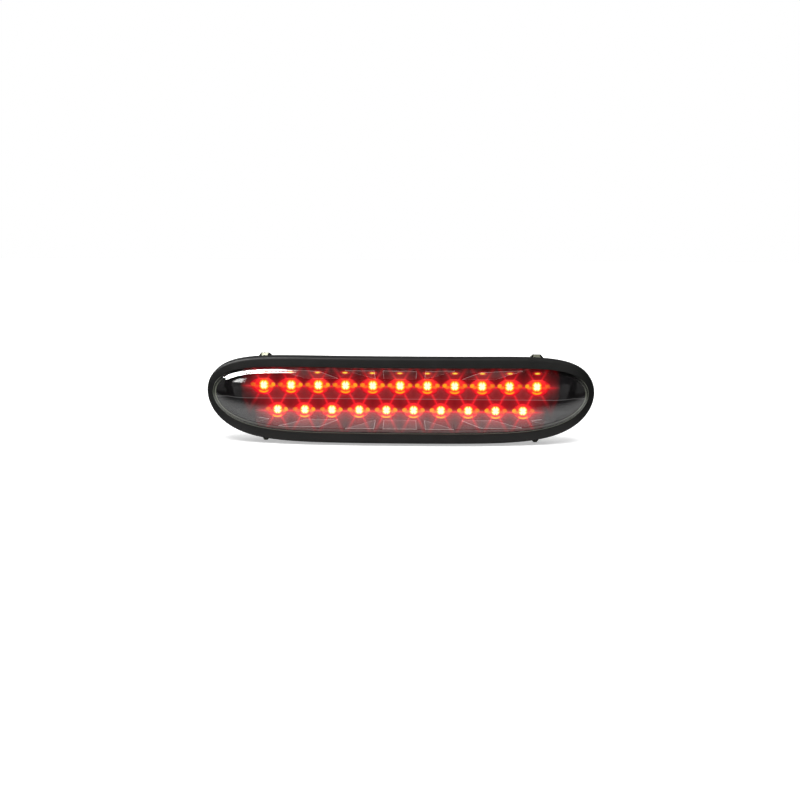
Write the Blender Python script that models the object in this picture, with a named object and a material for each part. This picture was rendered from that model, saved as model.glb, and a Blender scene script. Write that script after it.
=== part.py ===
"""High-mounted brake light: a clear-lens LED lamp for a curved tailgate panel.

Metres, +Z up. The lamp looks along -Y. The origin is the centre of the panel aperture, in the
plane where the rubber frame seats on the panel at mid width. Every outline is one rounded
lozenge whose ends sweep back with the panel and climb a little.
"""
import math

import bmesh
import bpy
import numpy as np
from mathutils import Vector

MM = 0.001

# Overall form: half sizes of the rubber frame, and how its ends sweep back and climb.
HALF_WIDTH = 107.0 * MM
HALF_HEIGHT = 23.7 * MM
END_SWEEP = 14.0 * MM
END_RISE = 3.5 * MM
SWEEP_POWER = 2.5
RISE_POWER = 5.0
LOZENGE_POWER = 6.5
END_BAND_RATIO = 0.62       # a band's width at the ends, over its width at mid length

# Depths along Y at mid width; the seat on the panel is zero and the front is negative.
FRAME_FRONT = -9.0 * MM
LENS_CROWN = 6.0 * MM       # how far the lens stands proud of the rubber frame
LENS_WALL = 2.0 * MM
HOUSING_BACK = 18.5 * MM
HOUSING_WALL = 2.0 * MM
GAP = 0.3 * MM              # clearance between neighbouring pieces
FRAME_BAND = 5.7 * MM       # the rubber frame's face, from its edge to the opening
FRAME_BEVEL = 1.4 * MM
LIP_THICKNESS = 2.7 * MM
LIP_EDGE = 0.7 * MM         # how thick the lip still is at the opening
LIP_SLANT = 1.8 * MM        # how far the lip's underside leans away from the lens
FLANGE_OVERLAP = 3.0 * MM   # how far the rubber frame's edge stands outside the flanges
FLANGE_THICKNESS = 2.0 * MM
LENS_ROOT = 1.4 * MM        # how far the lens spreads from the opening down to its flange
LENS_ROOT_WALL = 0.9 * MM
SEAL_THICKNESS = 0.7 * MM
SEAL_INSET = 0.4 * MM
SEAL_WIDTH = 1.8 * MM
HOUSING_NECK = 1.3 * MM     # the flanges' edge over the housing's wall
HOUSING_STEP = 3.8 * MM     # the flanges' edge over the housing's mouth
HOUSING_DRAFT = 1.2 * MM    # the wall's lean over the tub's depth
HOUSING_END_DRAFT = 3.0 * MM
HOUSING_CORNER = 1.0 * MM

# Lamp rows.
LED_PITCH = 15.0 * MM
UPPER_COUNT = 11
LOWER_COUNT = 10
ROW_PITCH = 13.5 * MM
ROW_MIDDLE = 0.2 * MM
UPPER_ROW = ROW_MIDDLE + ROW_PITCH / 2
LOWER_ROW = ROW_MIDDLE - ROW_PITCH / 2
CREST_DEPTH = -2.0 * MM     # the ridges' front edges
VALLEY_DEPTH = 1.8 * MM
BEZEL_BACK = 3.4 * MM
CEILING_DEPTH = 0.5 * MM    # where the ceiling meets the upper ridge
FLOOR_DEPTH = 1.5 * MM      # where the floor meets the lower ridge
CUP_WEB_UPPER = 0.32 * MM   # half the web between two cups of the upper row, on the crest
CUP_WEB_LOWER = 1.05 * MM
CUP_RADIUS_UPPER = LED_PITCH / 2 - CUP_WEB_UPPER
CUP_RADIUS_LOWER = LED_PITCH / 2 - CUP_WEB_LOWER
CUP_SLOPE = 0.8             # loss of cup radius per depth
CUP_BORE = 2.5 * MM
CREST_OVER_UPPER = 1.72 * MM
CREST_OVER_LOWER = 1.02 * MM
VALLEY_DROP = 0.4 * MM      # the valley's level under the rows' middle
CEILING_BACK = UPPER_ROW + 4.0 * MM
FLOOR_BACK = LOWER_ROW - 5.15 * MM
CUP_TO_CEILING = 0.15 * MM  # how far a cup may cut into the ceiling
CUP_TO_FLOOR = 0.2 * MM     # how far a cup stops short of the floor
ROW_HALF_LENGTH = (UPPER_COUNT - 1) / 2 * LED_PITCH
RIDGE_STRAIGHT = ROW_HALF_LENGTH + 8.0 * MM  # the ridges bend back past this
RIDGE_BEND = 0.85           # depth the ridges' ends gain, over the panel's sweep there
TRAY_RIM_GAP = 0.2 * MM
TRAY_RIM_WALL = 0.6 * MM
TRAY_WALL = 1.6 * MM
TRAY_END_INSET = 5.8 * MM   # the lean of the tray's end walls
TRAY_SEAT_GAP = 0.3 * MM

LED_BODY = 7.6 * MM
LED_BODY_HEIGHT = 3.5 * MM
LED_DOME_RADIUS = 2.0 * MM
LED_DOME_HEIGHT = 2.6 * MM
BOARD_THICKNESS = 1.6 * MM
BOARD_HALF_WIDTH = ROW_HALF_LENGTH + 7.0 * MM
BOARD_HALF_HEIGHT = ROW_PITCH / 2 + LED_BODY / 2 + 1.75 * MM

SCREW_SPACING = 2 * LED_PITCH  # each screw stands between two lamps of the lower row
SCREW_COUNT = 4
SCREW_BITE = 4.3 * MM       # length of shank past the board
SCREW_SHANK_RADIUS = 1.0 * MM
SCREW_HEAD_RADIUS = 2.2 * MM
SCREW_HEAD_HEIGHT = 1.6 * MM
BOSS_RADIUS = 2.3 * MM

RESISTOR_COUNT = 7
RESISTOR_SIZE = (6.3 * MM, 0.8 * MM, 3.2 * MM)
DIODE_SIZE = (4.4 * MM, 2.0 * MM, 2.6 * MM)

SOCKET_LENGTH = 15.0 * MM   # from its base inside the housing to its mouth
SOCKET_OUTER = (14.0 * MM, 9.0 * MM)
SOCKET_WALL = 1.2 * MM
SOCKET_FLANGE = 2.0 * MM
SOCKET_MOUTH_PAST_BACK = 9.5 * MM
TERMINAL_SIZE = (2.8 * MM, 0.8 * MM)
TERMINAL_SPACING = 5.4 * MM
TERMINAL_SETBACK = 5.0 * MM  # blade tips from the socket's mouth

CLIP_OFFSET = 75.0 * MM
CLIP_REACH_TOP = 24.2 * MM
CLIP_REACH_BOTTOM = 24.9 * MM
CLIP_THICKNESS = 0.5 * MM
CLIP_ROOT_WIDTH = 9.0 * MM
CLIP_TIP_TOP = 3.6 * MM
CLIP_TIP_BOTTOM = 1.8 * MM   # narrower, to clear the panel's lower rib
CLIP_LENGTH = 8.0 * MM      # from the hinge line forward to the apex
CLIP_RETURN = 1.8 * MM      # from the apex forward to the free end
CLIP_HOOK = 4.0 * MM        # the leg folded down over the housing's back
CLIP_ROOT_SETBACK = 1.2 * MM  # hinge line from the housing's back

VENT_RADIUS = 4.0 * MM
VENT_HEIGHT = 2.0 * MM
VENT_OFFSET = -40.0 * MM
VENT_BORE = 1.5 * MM

QUADRANT_STEPS = 16
ROUND_STEPS = 16
SMALL_ROUND_STEPS = 12
TURN_WEIGHT = 35.0 * MM     # how strongly outline points gather where the outline turns
SHARP_ANGLE = math.radians(35.0)

# Levels worked out from the sizes above.
FLANGE_HALF_HEIGHT = HALF_HEIGHT - FLANGE_OVERLAP
LENS_FLANGE_FRONT = FRAME_FRONT + LIP_THICKNESS + GAP
LENS_FLANGE_BACK = LENS_FLANGE_FRONT + FLANGE_THICKNESS
SEAL_FRONT = LENS_FLANGE_BACK + GAP
SEAL_BACK = SEAL_FRONT + SEAL_THICKNESS
HOUSING_FLANGE_FRONT = SEAL_BACK + GAP
HOUSING_FLANGE_BACK = HOUSING_FLANGE_FRONT + FLANGE_THICKNESS
OPENING_HALF_HEIGHT = HALF_HEIGHT - FRAME_BAND
LENS_FOOT = OPENING_HALF_HEIGHT - GAP
TRAY_MOUTH = OPENING_HALF_HEIGHT - TRAY_RIM_GAP - TRAY_RIM_WALL
TRAY_END = HALF_WIDTH - END_BAND_RATIO * (HALF_HEIGHT - TRAY_MOUTH) - TRAY_END_INSET
HOUSING_INSIDE = HOUSING_BACK - HOUSING_WALL
LED_FRONT = BEZEL_BACK + GAP
BOARD_FRONT = LED_FRONT + LED_BODY_HEIGHT + GAP
BOARD_BACK = BOARD_FRONT + BOARD_THICKNESS
SOCKET_MOUTH = HOUSING_BACK + SOCKET_MOUTH_PAST_BACK
SOCKET_BASE = SOCKET_MOUTH - SOCKET_LENGTH


def clear_scene():
    for thing in list(bpy.data.objects):
        bpy.data.objects.remove(thing, do_unlink=True)


def material(name, colour, roughness, metallic=0.0):
    made = bpy.data.materials.new(name)
    made.use_nodes = True
    shader = made.node_tree.nodes["Principled BSDF"]
    shader.inputs["Base Color"].default_value = (*colour, 1.0)
    shader.inputs["Roughness"].default_value = roughness
    shader.inputs["Metallic"].default_value = metallic
    made.diffuse_color = (*colour, 1.0)
    return made


def lozenge_angles():
    """Angles of the outline's points in one turn, closer together where the outline turns."""
    u = np.linspace(0.0, 1.0, 2000)
    angle = 0.5 * np.pi * (1.0 - (1.0 - u) ** 3)
    x = HALF_WIDTH * np.abs(np.cos(angle)) ** (2.0 / LOZENGE_POWER)
    z = HALF_HEIGHT * np.sin(angle)
    dx = np.diff(x)
    dz = np.diff(z)
    heading = np.unwrap(np.arctan2(dz, dx))
    turn = np.abs(np.diff(heading, prepend=heading[0]))
    measure = np.concatenate(([0.0], np.cumsum(np.hypot(dx, dz) + TURN_WEIGHT * turn)))
    wanted = np.linspace(0.0, measure[-1], QUADRANT_STEPS + 1)
    quarter = np.interp(wanted, measure, angle)
    half = np.concatenate((quarter, np.pi - quarter[-2::-1]))
    return np.concatenate((half, 2.0 * np.pi - half[-2:0:-1]))


ANGLES = lozenge_angles()


def sweep(x):
    """How far the panel, and the lamp with it, has curved back at this width."""
    return END_SWEEP * (abs(x) / HALF_WIDTH) ** SWEEP_POWER


def rise(x):
    return END_RISE * (abs(x) / HALF_WIDTH) ** RISE_POWER


def ridge_bow(x):
    """The ridges run straight along the lamps, then bend back to meet the sweep at their ends."""
    past = max(0.0, abs(x) - RIDGE_STRAIGHT)
    return RIDGE_BEND * sweep(x) * (past / (TRAY_END - RIDGE_STRAIGHT)) ** 2


def no_bow(_x):
    return 0.0


def band_width(half_height):
    """Half width of the lozenge that keeps its distance from the rubber frame's edge."""
    return HALF_WIDTH - END_BAND_RATIO * (HALF_HEIGHT - half_height)


def ring(half_height, depth, half_width=None, drop=0.0, bow=sweep):
    """One lozenge outline; point k and the k-th from the end lie one above the other."""
    if half_width is None:
        half_width = band_width(half_height)
    points = []
    for angle in ANGLES:
        cosine = math.cos(angle)
        x = math.copysign(half_width * abs(cosine) ** (2.0 / LOZENGE_POWER), cosine)
        z = half_height * math.sin(angle) + rise(x) + drop
        points.append(Vector((x, depth + bow(x), z)))
    return points


def circle(radius, depth, steps, centre=(0.0, 0.0)):
    points = []
    for index in range(steps):
        angle = 2.0 * math.pi * index / steps
        x = centre[0] + radius * math.cos(angle)
        z = centre[1] + radius * math.sin(angle)
        points.append(Vector((x, depth, z)))
    return points


def rectangle(width, height, depth, centre=(0.0, 0.0)):
    points = []
    for side_x, side_z in ((1, -1), (1, 1), (-1, 1), (-1, -1)):
        x = centre[0] + side_x * width / 2
        z = centre[1] + side_z * height / 2
        points.append(Vector((x, depth, z)))
    return points


def square_round(width, depth, steps):
    """A square outline with as many points as a circle, matching it angle by angle."""
    points = []
    for index in range(steps):
        angle = 2.0 * math.pi * index / steps
        reach = width / 2 / max(abs(math.cos(angle)), abs(math.sin(angle)))
        points.append(Vector((reach * math.cos(angle), depth, reach * math.sin(angle))))
    return points


def add_cap(mesh, verts):
    """Close a loop with rungs between the points that lie one above the other."""
    count = len(verts)
    for index in range(count // 2):
        corners = [verts[index], verts[index + 1]]
        for other in (count - index - 1, count - index):
            vert = verts[other % count]
            if vert not in corners:
                corners.append(vert)
        if len(corners) > 2:
            mesh.faces.new(corners)


def add_loft(mesh, rings, closed=False):
    """Skin the outlines in order; the ends are capped, or joined when closed."""
    loops = [[mesh.verts.new(point) for point in outline] for outline in rings]
    pairs = list(zip(loops, loops[1:]))
    if closed:
        pairs.append((loops[-1], loops[0]))
    else:
        add_cap(mesh, loops[0])
        add_cap(mesh, loops[-1])
    for first, second in pairs:
        count = len(first)
        for index in range(count):
            after = (index + 1) % count
            mesh.faces.new((first[index], first[after], second[after], second[index]))


def mesh_of(name, parts, closed=False):
    """A mesh of one or more lofts, each a list of outlines."""
    mesh = bmesh.new()
    for rings in parts:
        add_loft(mesh, rings, closed)
    bmesh.ops.recalc_face_normals(mesh, faces=mesh.faces)
    data = bpy.data.meshes.new(name)
    mesh.to_mesh(data)
    mesh.free()
    data.shade_smooth()
    data.set_sharp_from_angle(angle=SHARP_ANGLE)
    return data


def place(name, data, paint=None, location=(0.0, 0.0, 0.0)):
    made = bpy.data.objects.new(name, data)
    bpy.context.scene.collection.objects.link(made)
    made.location = location
    if paint is not None and not data.materials:
        data.materials.append(paint)
    return made


def solid(name, rings, paint, closed=False):
    return place(name, mesh_of(name, [rings], closed), paint)


def tool(name, parts):
    """A hidden body that cuts or trims others."""
    made = place(name, mesh_of(name, parts))
    made.hide_render = True
    made.display_type = "WIRE"
    return made


def combine(target, other, operation):
    modifier = target.modifiers.new(other.name, "BOOLEAN")
    modifier.operation = operation
    modifier.object = other
    modifier.solver = "EXACT"


def led_places():
    """Name, x and z of each lamp, both rows centred, the lower one lamp shorter."""
    rows = (("led_upper", UPPER_COUNT, UPPER_ROW), ("led_lower", LOWER_COUNT, LOWER_ROW))
    for row_name, count, z in rows:
        for index in range(count):
            x = (index - (count - 1) / 2) * LED_PITCH
            yield f"{row_name}_{index + 1:02d}", x, z


def screw_places():
    for index in range(SCREW_COUNT):
        yield (index - (SCREW_COUNT - 1) / 2) * SCREW_SPACING


def lens_dome(offset):
    """Outlines of the dome from its crown to its foot; offset moves them back and inward."""
    crown = FRAME_FRONT - LENS_CROWN + offset
    shoulder = FRAME_FRONT + GAP
    outlines = []
    for share in (0.12, 0.35, 0.58, 0.76, 0.88, 0.95, 1.0):
        inward = 0.65 * offset * share
        half_height = LENS_FOOT * share - inward
        half_width = band_width(LENS_FOOT) * (1.0 - (1.0 - share) ** 2) - inward
        fall = (1.0 - math.sqrt(max(0.0, 1.0 - share ** 2.6))) ** 0.9
        depth = crown + (shoulder - (FRAME_FRONT - LENS_CROWN)) * fall
        outlines.append(ring(half_height, depth, half_width))
    return outlines


def make_lens(paint):
    root = LENS_FOOT + LENS_ROOT
    outer = lens_dome(0.0)
    outer.append(ring(root, LENS_FLANGE_FRONT))
    outer.append(ring(FLANGE_HALF_HEIGHT, LENS_FLANGE_FRONT))
    outer.append(ring(FLANGE_HALF_HEIGHT, LENS_FLANGE_BACK))
    inner = lens_dome(LENS_WALL)
    inner.append(ring(root - LENS_ROOT_WALL, LENS_FLANGE_BACK))
    return solid("outer_lens", outer + inner[::-1], paint)


def make_frame(paint):
    """The rubber frame: a lip over the lens flange and a skirt down to the panel."""
    skirt_inside = FLANGE_HALF_HEIGHT + GAP
    lip_back = FRAME_FRONT + LIP_THICKNESS
    soft = 0.4 * FRAME_BEVEL
    profile = (
        (OPENING_HALF_HEIGHT, FRAME_FRONT + soft),
        (OPENING_HALF_HEIGHT + soft, FRAME_FRONT),
        (HALF_HEIGHT - FRAME_BEVEL, FRAME_FRONT),
        (HALF_HEIGHT - 0.3 * FRAME_BEVEL, FRAME_FRONT + 0.3 * FRAME_BEVEL),
        (HALF_HEIGHT, FRAME_FRONT + FRAME_BEVEL),
        (HALF_HEIGHT, -soft),
        (HALF_HEIGHT - soft, 0.0),
        (skirt_inside, 0.0),
        (skirt_inside, lip_back),
        (OPENING_HALF_HEIGHT + LIP_SLANT, lip_back),
        (OPENING_HALF_HEIGHT, FRAME_FRONT + LIP_EDGE),
    )
    rings = [ring(half_height, depth) for half_height, depth in profile]
    return solid("rubber_frame", rings, paint, closed=True)


def make_seal(paint):
    """The bead of sealant between the lens flange and the housing flange."""
    outside = FLANGE_HALF_HEIGHT - SEAL_INSET
    inside = outside - SEAL_WIDTH
    profile = ((inside, SEAL_FRONT), (outside, SEAL_FRONT), (outside, SEAL_BACK), (inside, SEAL_BACK))
    rings = [ring(half_height, depth) for half_height, depth in profile]
    return solid("lens_seal", rings, paint, closed=True)


def make_housing(paint):
    """A tub with a flange that follows the lens and a flat back."""
    neck = FLANGE_HALF_HEIGHT - HOUSING_NECK
    step = FLANGE_HALF_HEIGHT - HOUSING_STEP
    back = neck - HOUSING_DRAFT
    back_width = band_width(back) - HOUSING_END_DRAFT
    rings = [
        ring(back - HOUSING_CORNER, HOUSING_BACK, back_width - HOUSING_CORNER, bow=no_bow),
        ring(back, HOUSING_BACK - HOUSING_CORNER, back_width, bow=no_bow),
        ring(neck, HOUSING_FLANGE_BACK),
        ring(FLANGE_HALF_HEIGHT, HOUSING_FLANGE_BACK),
        ring(FLANGE_HALF_HEIGHT, HOUSING_FLANGE_FRONT),
        ring(step, HOUSING_FLANGE_FRONT),
        ring(back - HOUSING_WALL, HOUSING_INSIDE, back_width - HOUSING_WALL, bow=no_bow),
    ]
    housing = solid("housing", rings, paint)
    clearance = 2.0 * GAP
    hole_width = SOCKET_OUTER[0] + clearance
    hole_height = SOCKET_OUTER[1] + clearance
    past_wall = 2.0 * HOUSING_WALL
    socket_hole = [
        rectangle(hole_width, hole_height, HOUSING_INSIDE - past_wall),
        rectangle(hole_width, hole_height, HOUSING_BACK + past_wall),
    ]
    vent_hole = [
        circle(VENT_BORE, HOUSING_INSIDE - past_wall, SMALL_ROUND_STEPS, (VENT_OFFSET, 0.0)),
        circle(VENT_BORE, HOUSING_BACK + past_wall, SMALL_ROUND_STEPS, (VENT_OFFSET, 0.0)),
    ]
    combine(housing, tool("housing_holes", [socket_hole, vent_hole]), "DIFFERENCE")
    return housing


def ridge_space():
    """The space in front of the two ridges, as one body across the lamp."""
    far = 1.25 * HALF_HEIGHT
    front = -4.0 * HALF_HEIGHT
    ridges = (
        (CEILING_DEPTH, far),
        (CEILING_DEPTH, CEILING_BACK),
        (CREST_DEPTH, UPPER_ROW + CREST_OVER_UPPER),
        (VALLEY_DEPTH, ROW_MIDDLE - VALLEY_DROP),
        (CREST_DEPTH, LOWER_ROW + CREST_OVER_LOWER),
        (FLOOR_DEPTH, FLOOR_BACK),
        (FLOOR_DEPTH, -far),
    )
    stations = [-HALF_WIDTH, HALF_WIDTH]
    for share in (0.0, 0.2, 0.4, 0.6, 0.8):
        x = RIDGE_STRAIGHT + share * (HALF_WIDTH - RIDGE_STRAIGHT)
        stations += [-x, x]
    sections = []
    for x in sorted(stations):
        section = [Vector((x, depth + ridge_bow(x), z)) for depth, z in ridges]
        section.append(Vector((x, front, -far)))
        section.append(Vector((x, front, far)))
        sections.append(section)
    mesh = bmesh.new()
    loops = [[mesh.verts.new(point) for point in section] for section in sections]
    for first, second in zip(loops, loops[1:]):
        for index in range(len(first)):
            after = (index + 1) % len(first)
            mesh.faces.new((first[index], first[after], second[after], second[index]))
    mesh.faces.new(loops[0])
    mesh.faces.new(loops[-1])
    bmesh.ops.recalc_face_normals(mesh, faces=mesh.faces)
    data = bpy.data.meshes.new("ridge_space")
    mesh.to_mesh(data)
    mesh.free()
    made = place("ridge_space", data)
    made.hide_render = True
    made.display_type = "WIRE"
    return made


def cup_cutters():
    """Cones that open each lamp's cup, straight where they reach the lamp's bore."""
    cones = []
    front = 1.75 * CREST_DEPTH
    for name, x, z in led_places():
        crest_radius = CUP_RADIUS_UPPER if "upper" in name else CUP_RADIUS_LOWER
        bore_depth = CREST_DEPTH + (crest_radius - CUP_BORE) / CUP_SLOPE
        cones.append([
            circle(crest_radius + CUP_SLOPE * (CREST_DEPTH - front), front, ROUND_STEPS, (x, z)),
            circle(CUP_BORE, bore_depth, ROUND_STEPS, (x, z)),
            circle(CUP_BORE, BOARD_FRONT, ROUND_STEPS, (x, z)),
        ])
    cones = tool("cup_cones", cones)
    top = CEILING_BACK + CUP_TO_CEILING
    bottom = FLOOR_BACK + CUP_TO_FLOOR
    height = top - bottom
    middle = (0.0, (top + bottom) / 2)
    band = tool("cup_band", [[
        rectangle(2.2 * HALF_WIDTH, height, 2.0 * front, middle),
        rectangle(2.2 * HALF_WIDTH, height, BOARD_BACK, middle),
    ]])
    combine(cones, band, "INTERSECT")
    return cones


def make_bezel(paint):
    """The black tray with two stepped ridges, opened by a reflector cup for each lamp."""
    rim = OPENING_HALF_HEIGHT - TRAY_RIM_GAP
    seat = FLANGE_HALF_HEIGHT - HOUSING_STEP - TRAY_SEAT_GAP
    rim_front = LENS_FLANGE_BACK - TRAY_SEAT_GAP
    rim_back = HOUSING_FLANGE_FRONT - GAP
    back_middle = (CEILING_BACK + FLOOR_BACK) / 2
    back_half = (CEILING_BACK - FLOOR_BACK) / 2
    bezel = solid("bezel", [
        ring(back_half, 1.5 * CREST_DEPTH, TRAY_END, back_middle, ridge_bow),
        ring(rim, rim_front),
        ring(rim, rim_back),
        ring(seat, rim_back),
        ring(back_half + TRAY_WALL, BEZEL_BACK, TRAY_END + TRAY_WALL, back_middle, ridge_bow),
    ], paint)
    lean_depth = (CEILING_DEPTH + FLOOR_DEPTH) / 2
    slant = 1.28              # the tray's walls carried on past its floor
    slanted_half = TRAY_MOUTH + slant * (back_half - TRAY_MOUTH)
    slanted_width = band_width(TRAY_MOUTH) - slant * TRAY_END_INSET
    slanted_depth = rim_front + slant * (lean_depth - rim_front)
    tray = tool("tray_space", [[
        ring(TRAY_MOUTH, 3.0 * FRAME_FRONT, band_width(TRAY_MOUTH)),
        ring(TRAY_MOUTH, rim_front, band_width(TRAY_MOUTH)),
        ring(slanted_half, slanted_depth, slanted_width, slant * back_middle, ridge_bow),
    ]])
    combine(tray, ridge_space(), "INTERSECT")
    bore = SCREW_SHANK_RADIUS + GAP
    bosses = tool("board_bosses", [[
        circle(BOSS_RADIUS, BEZEL_BACK - GAP, ROUND_STEPS, (x, LOWER_ROW)),
        circle(BOSS_RADIUS, BOARD_FRONT - GAP, ROUND_STEPS, (x, LOWER_ROW)),
    ] for x in screw_places()])
    bores = tool("boss_bores", [[
        circle(bore, BOARD_BACK - BOARD_THICKNESS - SCREW_BITE - GAP, SMALL_ROUND_STEPS, (x, LOWER_ROW)),
        circle(bore, BOARD_BACK, SMALL_ROUND_STEPS, (x, LOWER_ROW)),
    ] for x in screw_places()])
    combine(bezel, bosses, "UNION")
    combine(bezel, tray, "DIFFERENCE")
    combine(bezel, bores, "DIFFERENCE")
    combine(bezel, cup_cutters(), "DIFFERENCE")
    return bezel


def make_board(paint):
    board = solid("circuit_board", [
        rectangle(2 * BOARD_HALF_WIDTH, 2 * BOARD_HALF_HEIGHT, BOARD_FRONT),
        rectangle(2 * BOARD_HALF_WIDTH, 2 * BOARD_HALF_HEIGHT, BOARD_BACK),
    ], paint)
    holes = tool("board_holes", [[
        circle(SCREW_SHANK_RADIUS + GAP, BOARD_FRONT - GAP, SMALL_ROUND_STEPS, (x, LOWER_ROW)),
        circle(SCREW_SHANK_RADIUS + GAP, BOARD_BACK + GAP, SMALL_ROUND_STEPS, (x, LOWER_ROW)),
    ] for x in screw_places()])
    combine(board, holes, "DIFFERENCE")
    return board


def make_leds(paint):
    """One lamp body, a square base with a domed lens, shared by every lamp."""
    rings = [square_round(LED_BODY, LED_BODY_HEIGHT, SMALL_ROUND_STEPS)]
    rings.append(square_round(LED_BODY, 0.0, SMALL_ROUND_STEPS))
    straight = LED_DOME_HEIGHT - LED_DOME_RADIUS
    rings.append(circle(LED_DOME_RADIUS, 0.0, SMALL_ROUND_STEPS))
    for tilt in (0.0, 35.0, 65.0):
        radius = LED_DOME_RADIUS * math.cos(math.radians(tilt))
        depth = -straight - LED_DOME_RADIUS * math.sin(math.radians(tilt))
        rings.append(circle(radius, depth, SMALL_ROUND_STEPS))
    data = mesh_of("led", [rings])
    for name, x, z in led_places():
        place(name, data, paint, (x, LED_FRONT, z))


def make_board_screws(paint):
    length = BOARD_THICKNESS + SCREW_BITE
    data = mesh_of("board_screw", [[
        circle(SCREW_SHANK_RADIUS, -length, SMALL_ROUND_STEPS),
        circle(SCREW_SHANK_RADIUS, GAP, SMALL_ROUND_STEPS),
        circle(SCREW_HEAD_RADIUS, GAP, SMALL_ROUND_STEPS),
        circle(SCREW_HEAD_RADIUS, 0.6 * SCREW_HEAD_HEIGHT, SMALL_ROUND_STEPS),
        circle(0.6 * SCREW_HEAD_RADIUS, SCREW_HEAD_HEIGHT, SMALL_ROUND_STEPS),
    ]])
    for index, x in enumerate(screw_places()):
        place(f"board_screw_{index + 1}", data, paint, (x, BOARD_BACK, LOWER_ROW))


def chip(size):
    """A small block on the board, its top edges drawn in by a tenth."""
    width, height, length = size
    return mesh_of("chip", [[
        rectangle(width, length, 0.0),
        rectangle(width, length, 0.7 * height),
        rectangle(width - 0.2 * height, length - 0.2 * height, height),
    ]])


def make_chips(resistor_paint, diode_paint):
    """One series resistor for each string of three lamps, and a diode against reversed leads."""
    level = BOARD_BACK + GAP
    data = chip(RESISTOR_SIZE)
    spacing = 2.0 * BOARD_HALF_WIDTH / (RESISTOR_COUNT + 1)
    for index in range(RESISTOR_COUNT):
        x = (index - (RESISTOR_COUNT - 1) / 2) * spacing
        place(f"series_resistor_{index + 1}", data, resistor_paint, (x, level, UPPER_ROW))
    place("reverse_diode", chip(DIODE_SIZE), diode_paint, (SCREW_SPACING, level, LOWER_ROW))


def make_socket(paint):
    """The two-pin connector's shroud, which stands on the board and passes the back wall."""
    width, height = SOCKET_OUTER
    inner_width = width - 2 * SOCKET_WALL
    inner_height = height - 2 * SOCKET_WALL
    flange_back = HOUSING_INSIDE - GAP
    flange_front = flange_back - SOCKET_WALL
    wide = width + 2 * SOCKET_FLANGE
    tall = height + 2 * SOCKET_FLANGE
    socket = solid("connector_socket", [
        rectangle(width, height, SOCKET_BASE),
        rectangle(width, height, flange_front),
        rectangle(wide, tall, flange_front),
        rectangle(wide, tall, flange_back),
        rectangle(width, height, flange_back),
        rectangle(width, height, SOCKET_MOUTH),
        rectangle(inner_width, inner_height, SOCKET_MOUTH),
        rectangle(inner_width, inner_height, flange_back),
    ], paint)
    slot_width = TERMINAL_SIZE[0] + 2 * GAP
    slot_height = TERMINAL_SIZE[1] + 2 * GAP
    slots = tool("terminal_slots", [[
        rectangle(slot_width, slot_height, SOCKET_BASE - GAP, (side * TERMINAL_SPACING / 2, 0.0)),
        rectangle(slot_width, slot_height, SOCKET_MOUTH - 1.0 * MM, (side * TERMINAL_SPACING / 2, 0.0)),
    ] for side in (-1, 1)])
    combine(socket, slots, "DIFFERENCE")
    return socket


def make_terminals(paint):
    width, thickness = TERMINAL_SIZE
    start = BOARD_BACK + GAP
    end = SOCKET_MOUTH - TERMINAL_SETBACK
    chamfer = 0.8 * MM
    data = mesh_of("terminal", [[
        rectangle(width, thickness, start),
        rectangle(width, thickness, end - chamfer),
        rectangle(0.6 * width, 0.4 * thickness, end),
    ]])
    place("terminal_left", data, paint, (-TERMINAL_SPACING / 2, 0.0, 0.0))
    place("terminal_right", data, paint, (TERMINAL_SPACING / 2, 0.0, 0.0))


def strip(path):
    """A bent strip; each point of its path gives depth, height and width."""
    sections = []
    for index, (depth, height, width) in enumerate(path):
        before = path[max(index - 1, 0)]
        after = path[min(index + 1, len(path) - 1)]
        along = Vector((after[0] - before[0], after[1] - before[1])).normalized()
        across = Vector((along.y, -along.x)) * CLIP_THICKNESS
        corners = []
        for side, layer in ((1, 0), (1, 1), (-1, 1), (-1, 0)):
            corners.append(Vector((side * width / 2, depth + layer * across.x, height + layer * across.y)))
        sections.append(corners)
    return sections


def make_clips(paint):
    """Bent spring-steel strips that catch behind the panel; each origin is its hinge line."""
    hinge_depth = HOUSING_BACK - CLIP_ROOT_SETBACK
    behind = CLIP_ROOT_SETBACK + GAP
    wall = FLANGE_HALF_HEIGHT - HOUSING_NECK
    at_clip = math.sqrt(1.0 - (CLIP_OFFSET / band_width(wall)) ** LOZENGE_POWER)
    for level, sign, reach, tip_width in (
        ("top", 1, CLIP_REACH_TOP, CLIP_TIP_TOP),
        ("bottom", -1, CLIP_REACH_BOTTOM, CLIP_TIP_BOTTOM),
    ):
        root_z = wall * at_clip + sign * rise(CLIP_OFFSET) + GAP
        height = reach - root_z - CLIP_THICKNESS
        path = (
            (behind, -CLIP_HOOK, CLIP_ROOT_WIDTH),
            (behind, -1.6 * CLIP_THICKNESS, CLIP_ROOT_WIDTH),
            (behind - 1.6 * CLIP_THICKNESS, 0.0, CLIP_ROOT_WIDTH),
            (-CLIP_THICKNESS, 0.0, CLIP_ROOT_WIDTH),
            (-0.55 * CLIP_LENGTH, 0.6 * height, 0.85 * CLIP_ROOT_WIDTH),
            (-0.88 * CLIP_LENGTH, height, 1.2 * tip_width),
            (-CLIP_LENGTH, height, tip_width),
            (-CLIP_LENGTH - CLIP_RETURN, 0.6 * height, tip_width),
        )
        data = mesh_of("clip_" + level, [strip(path)])
        for side_name, side in (("left", -1), ("right", 1)):
            where = (side * CLIP_OFFSET, hinge_depth, sign * root_z)
            clip = place(f"clip_{level}_{side_name}", data, paint, where)
            clip.rotation_euler = (0.0, 0.0 if sign > 0 else math.pi, 0.0)


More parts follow.
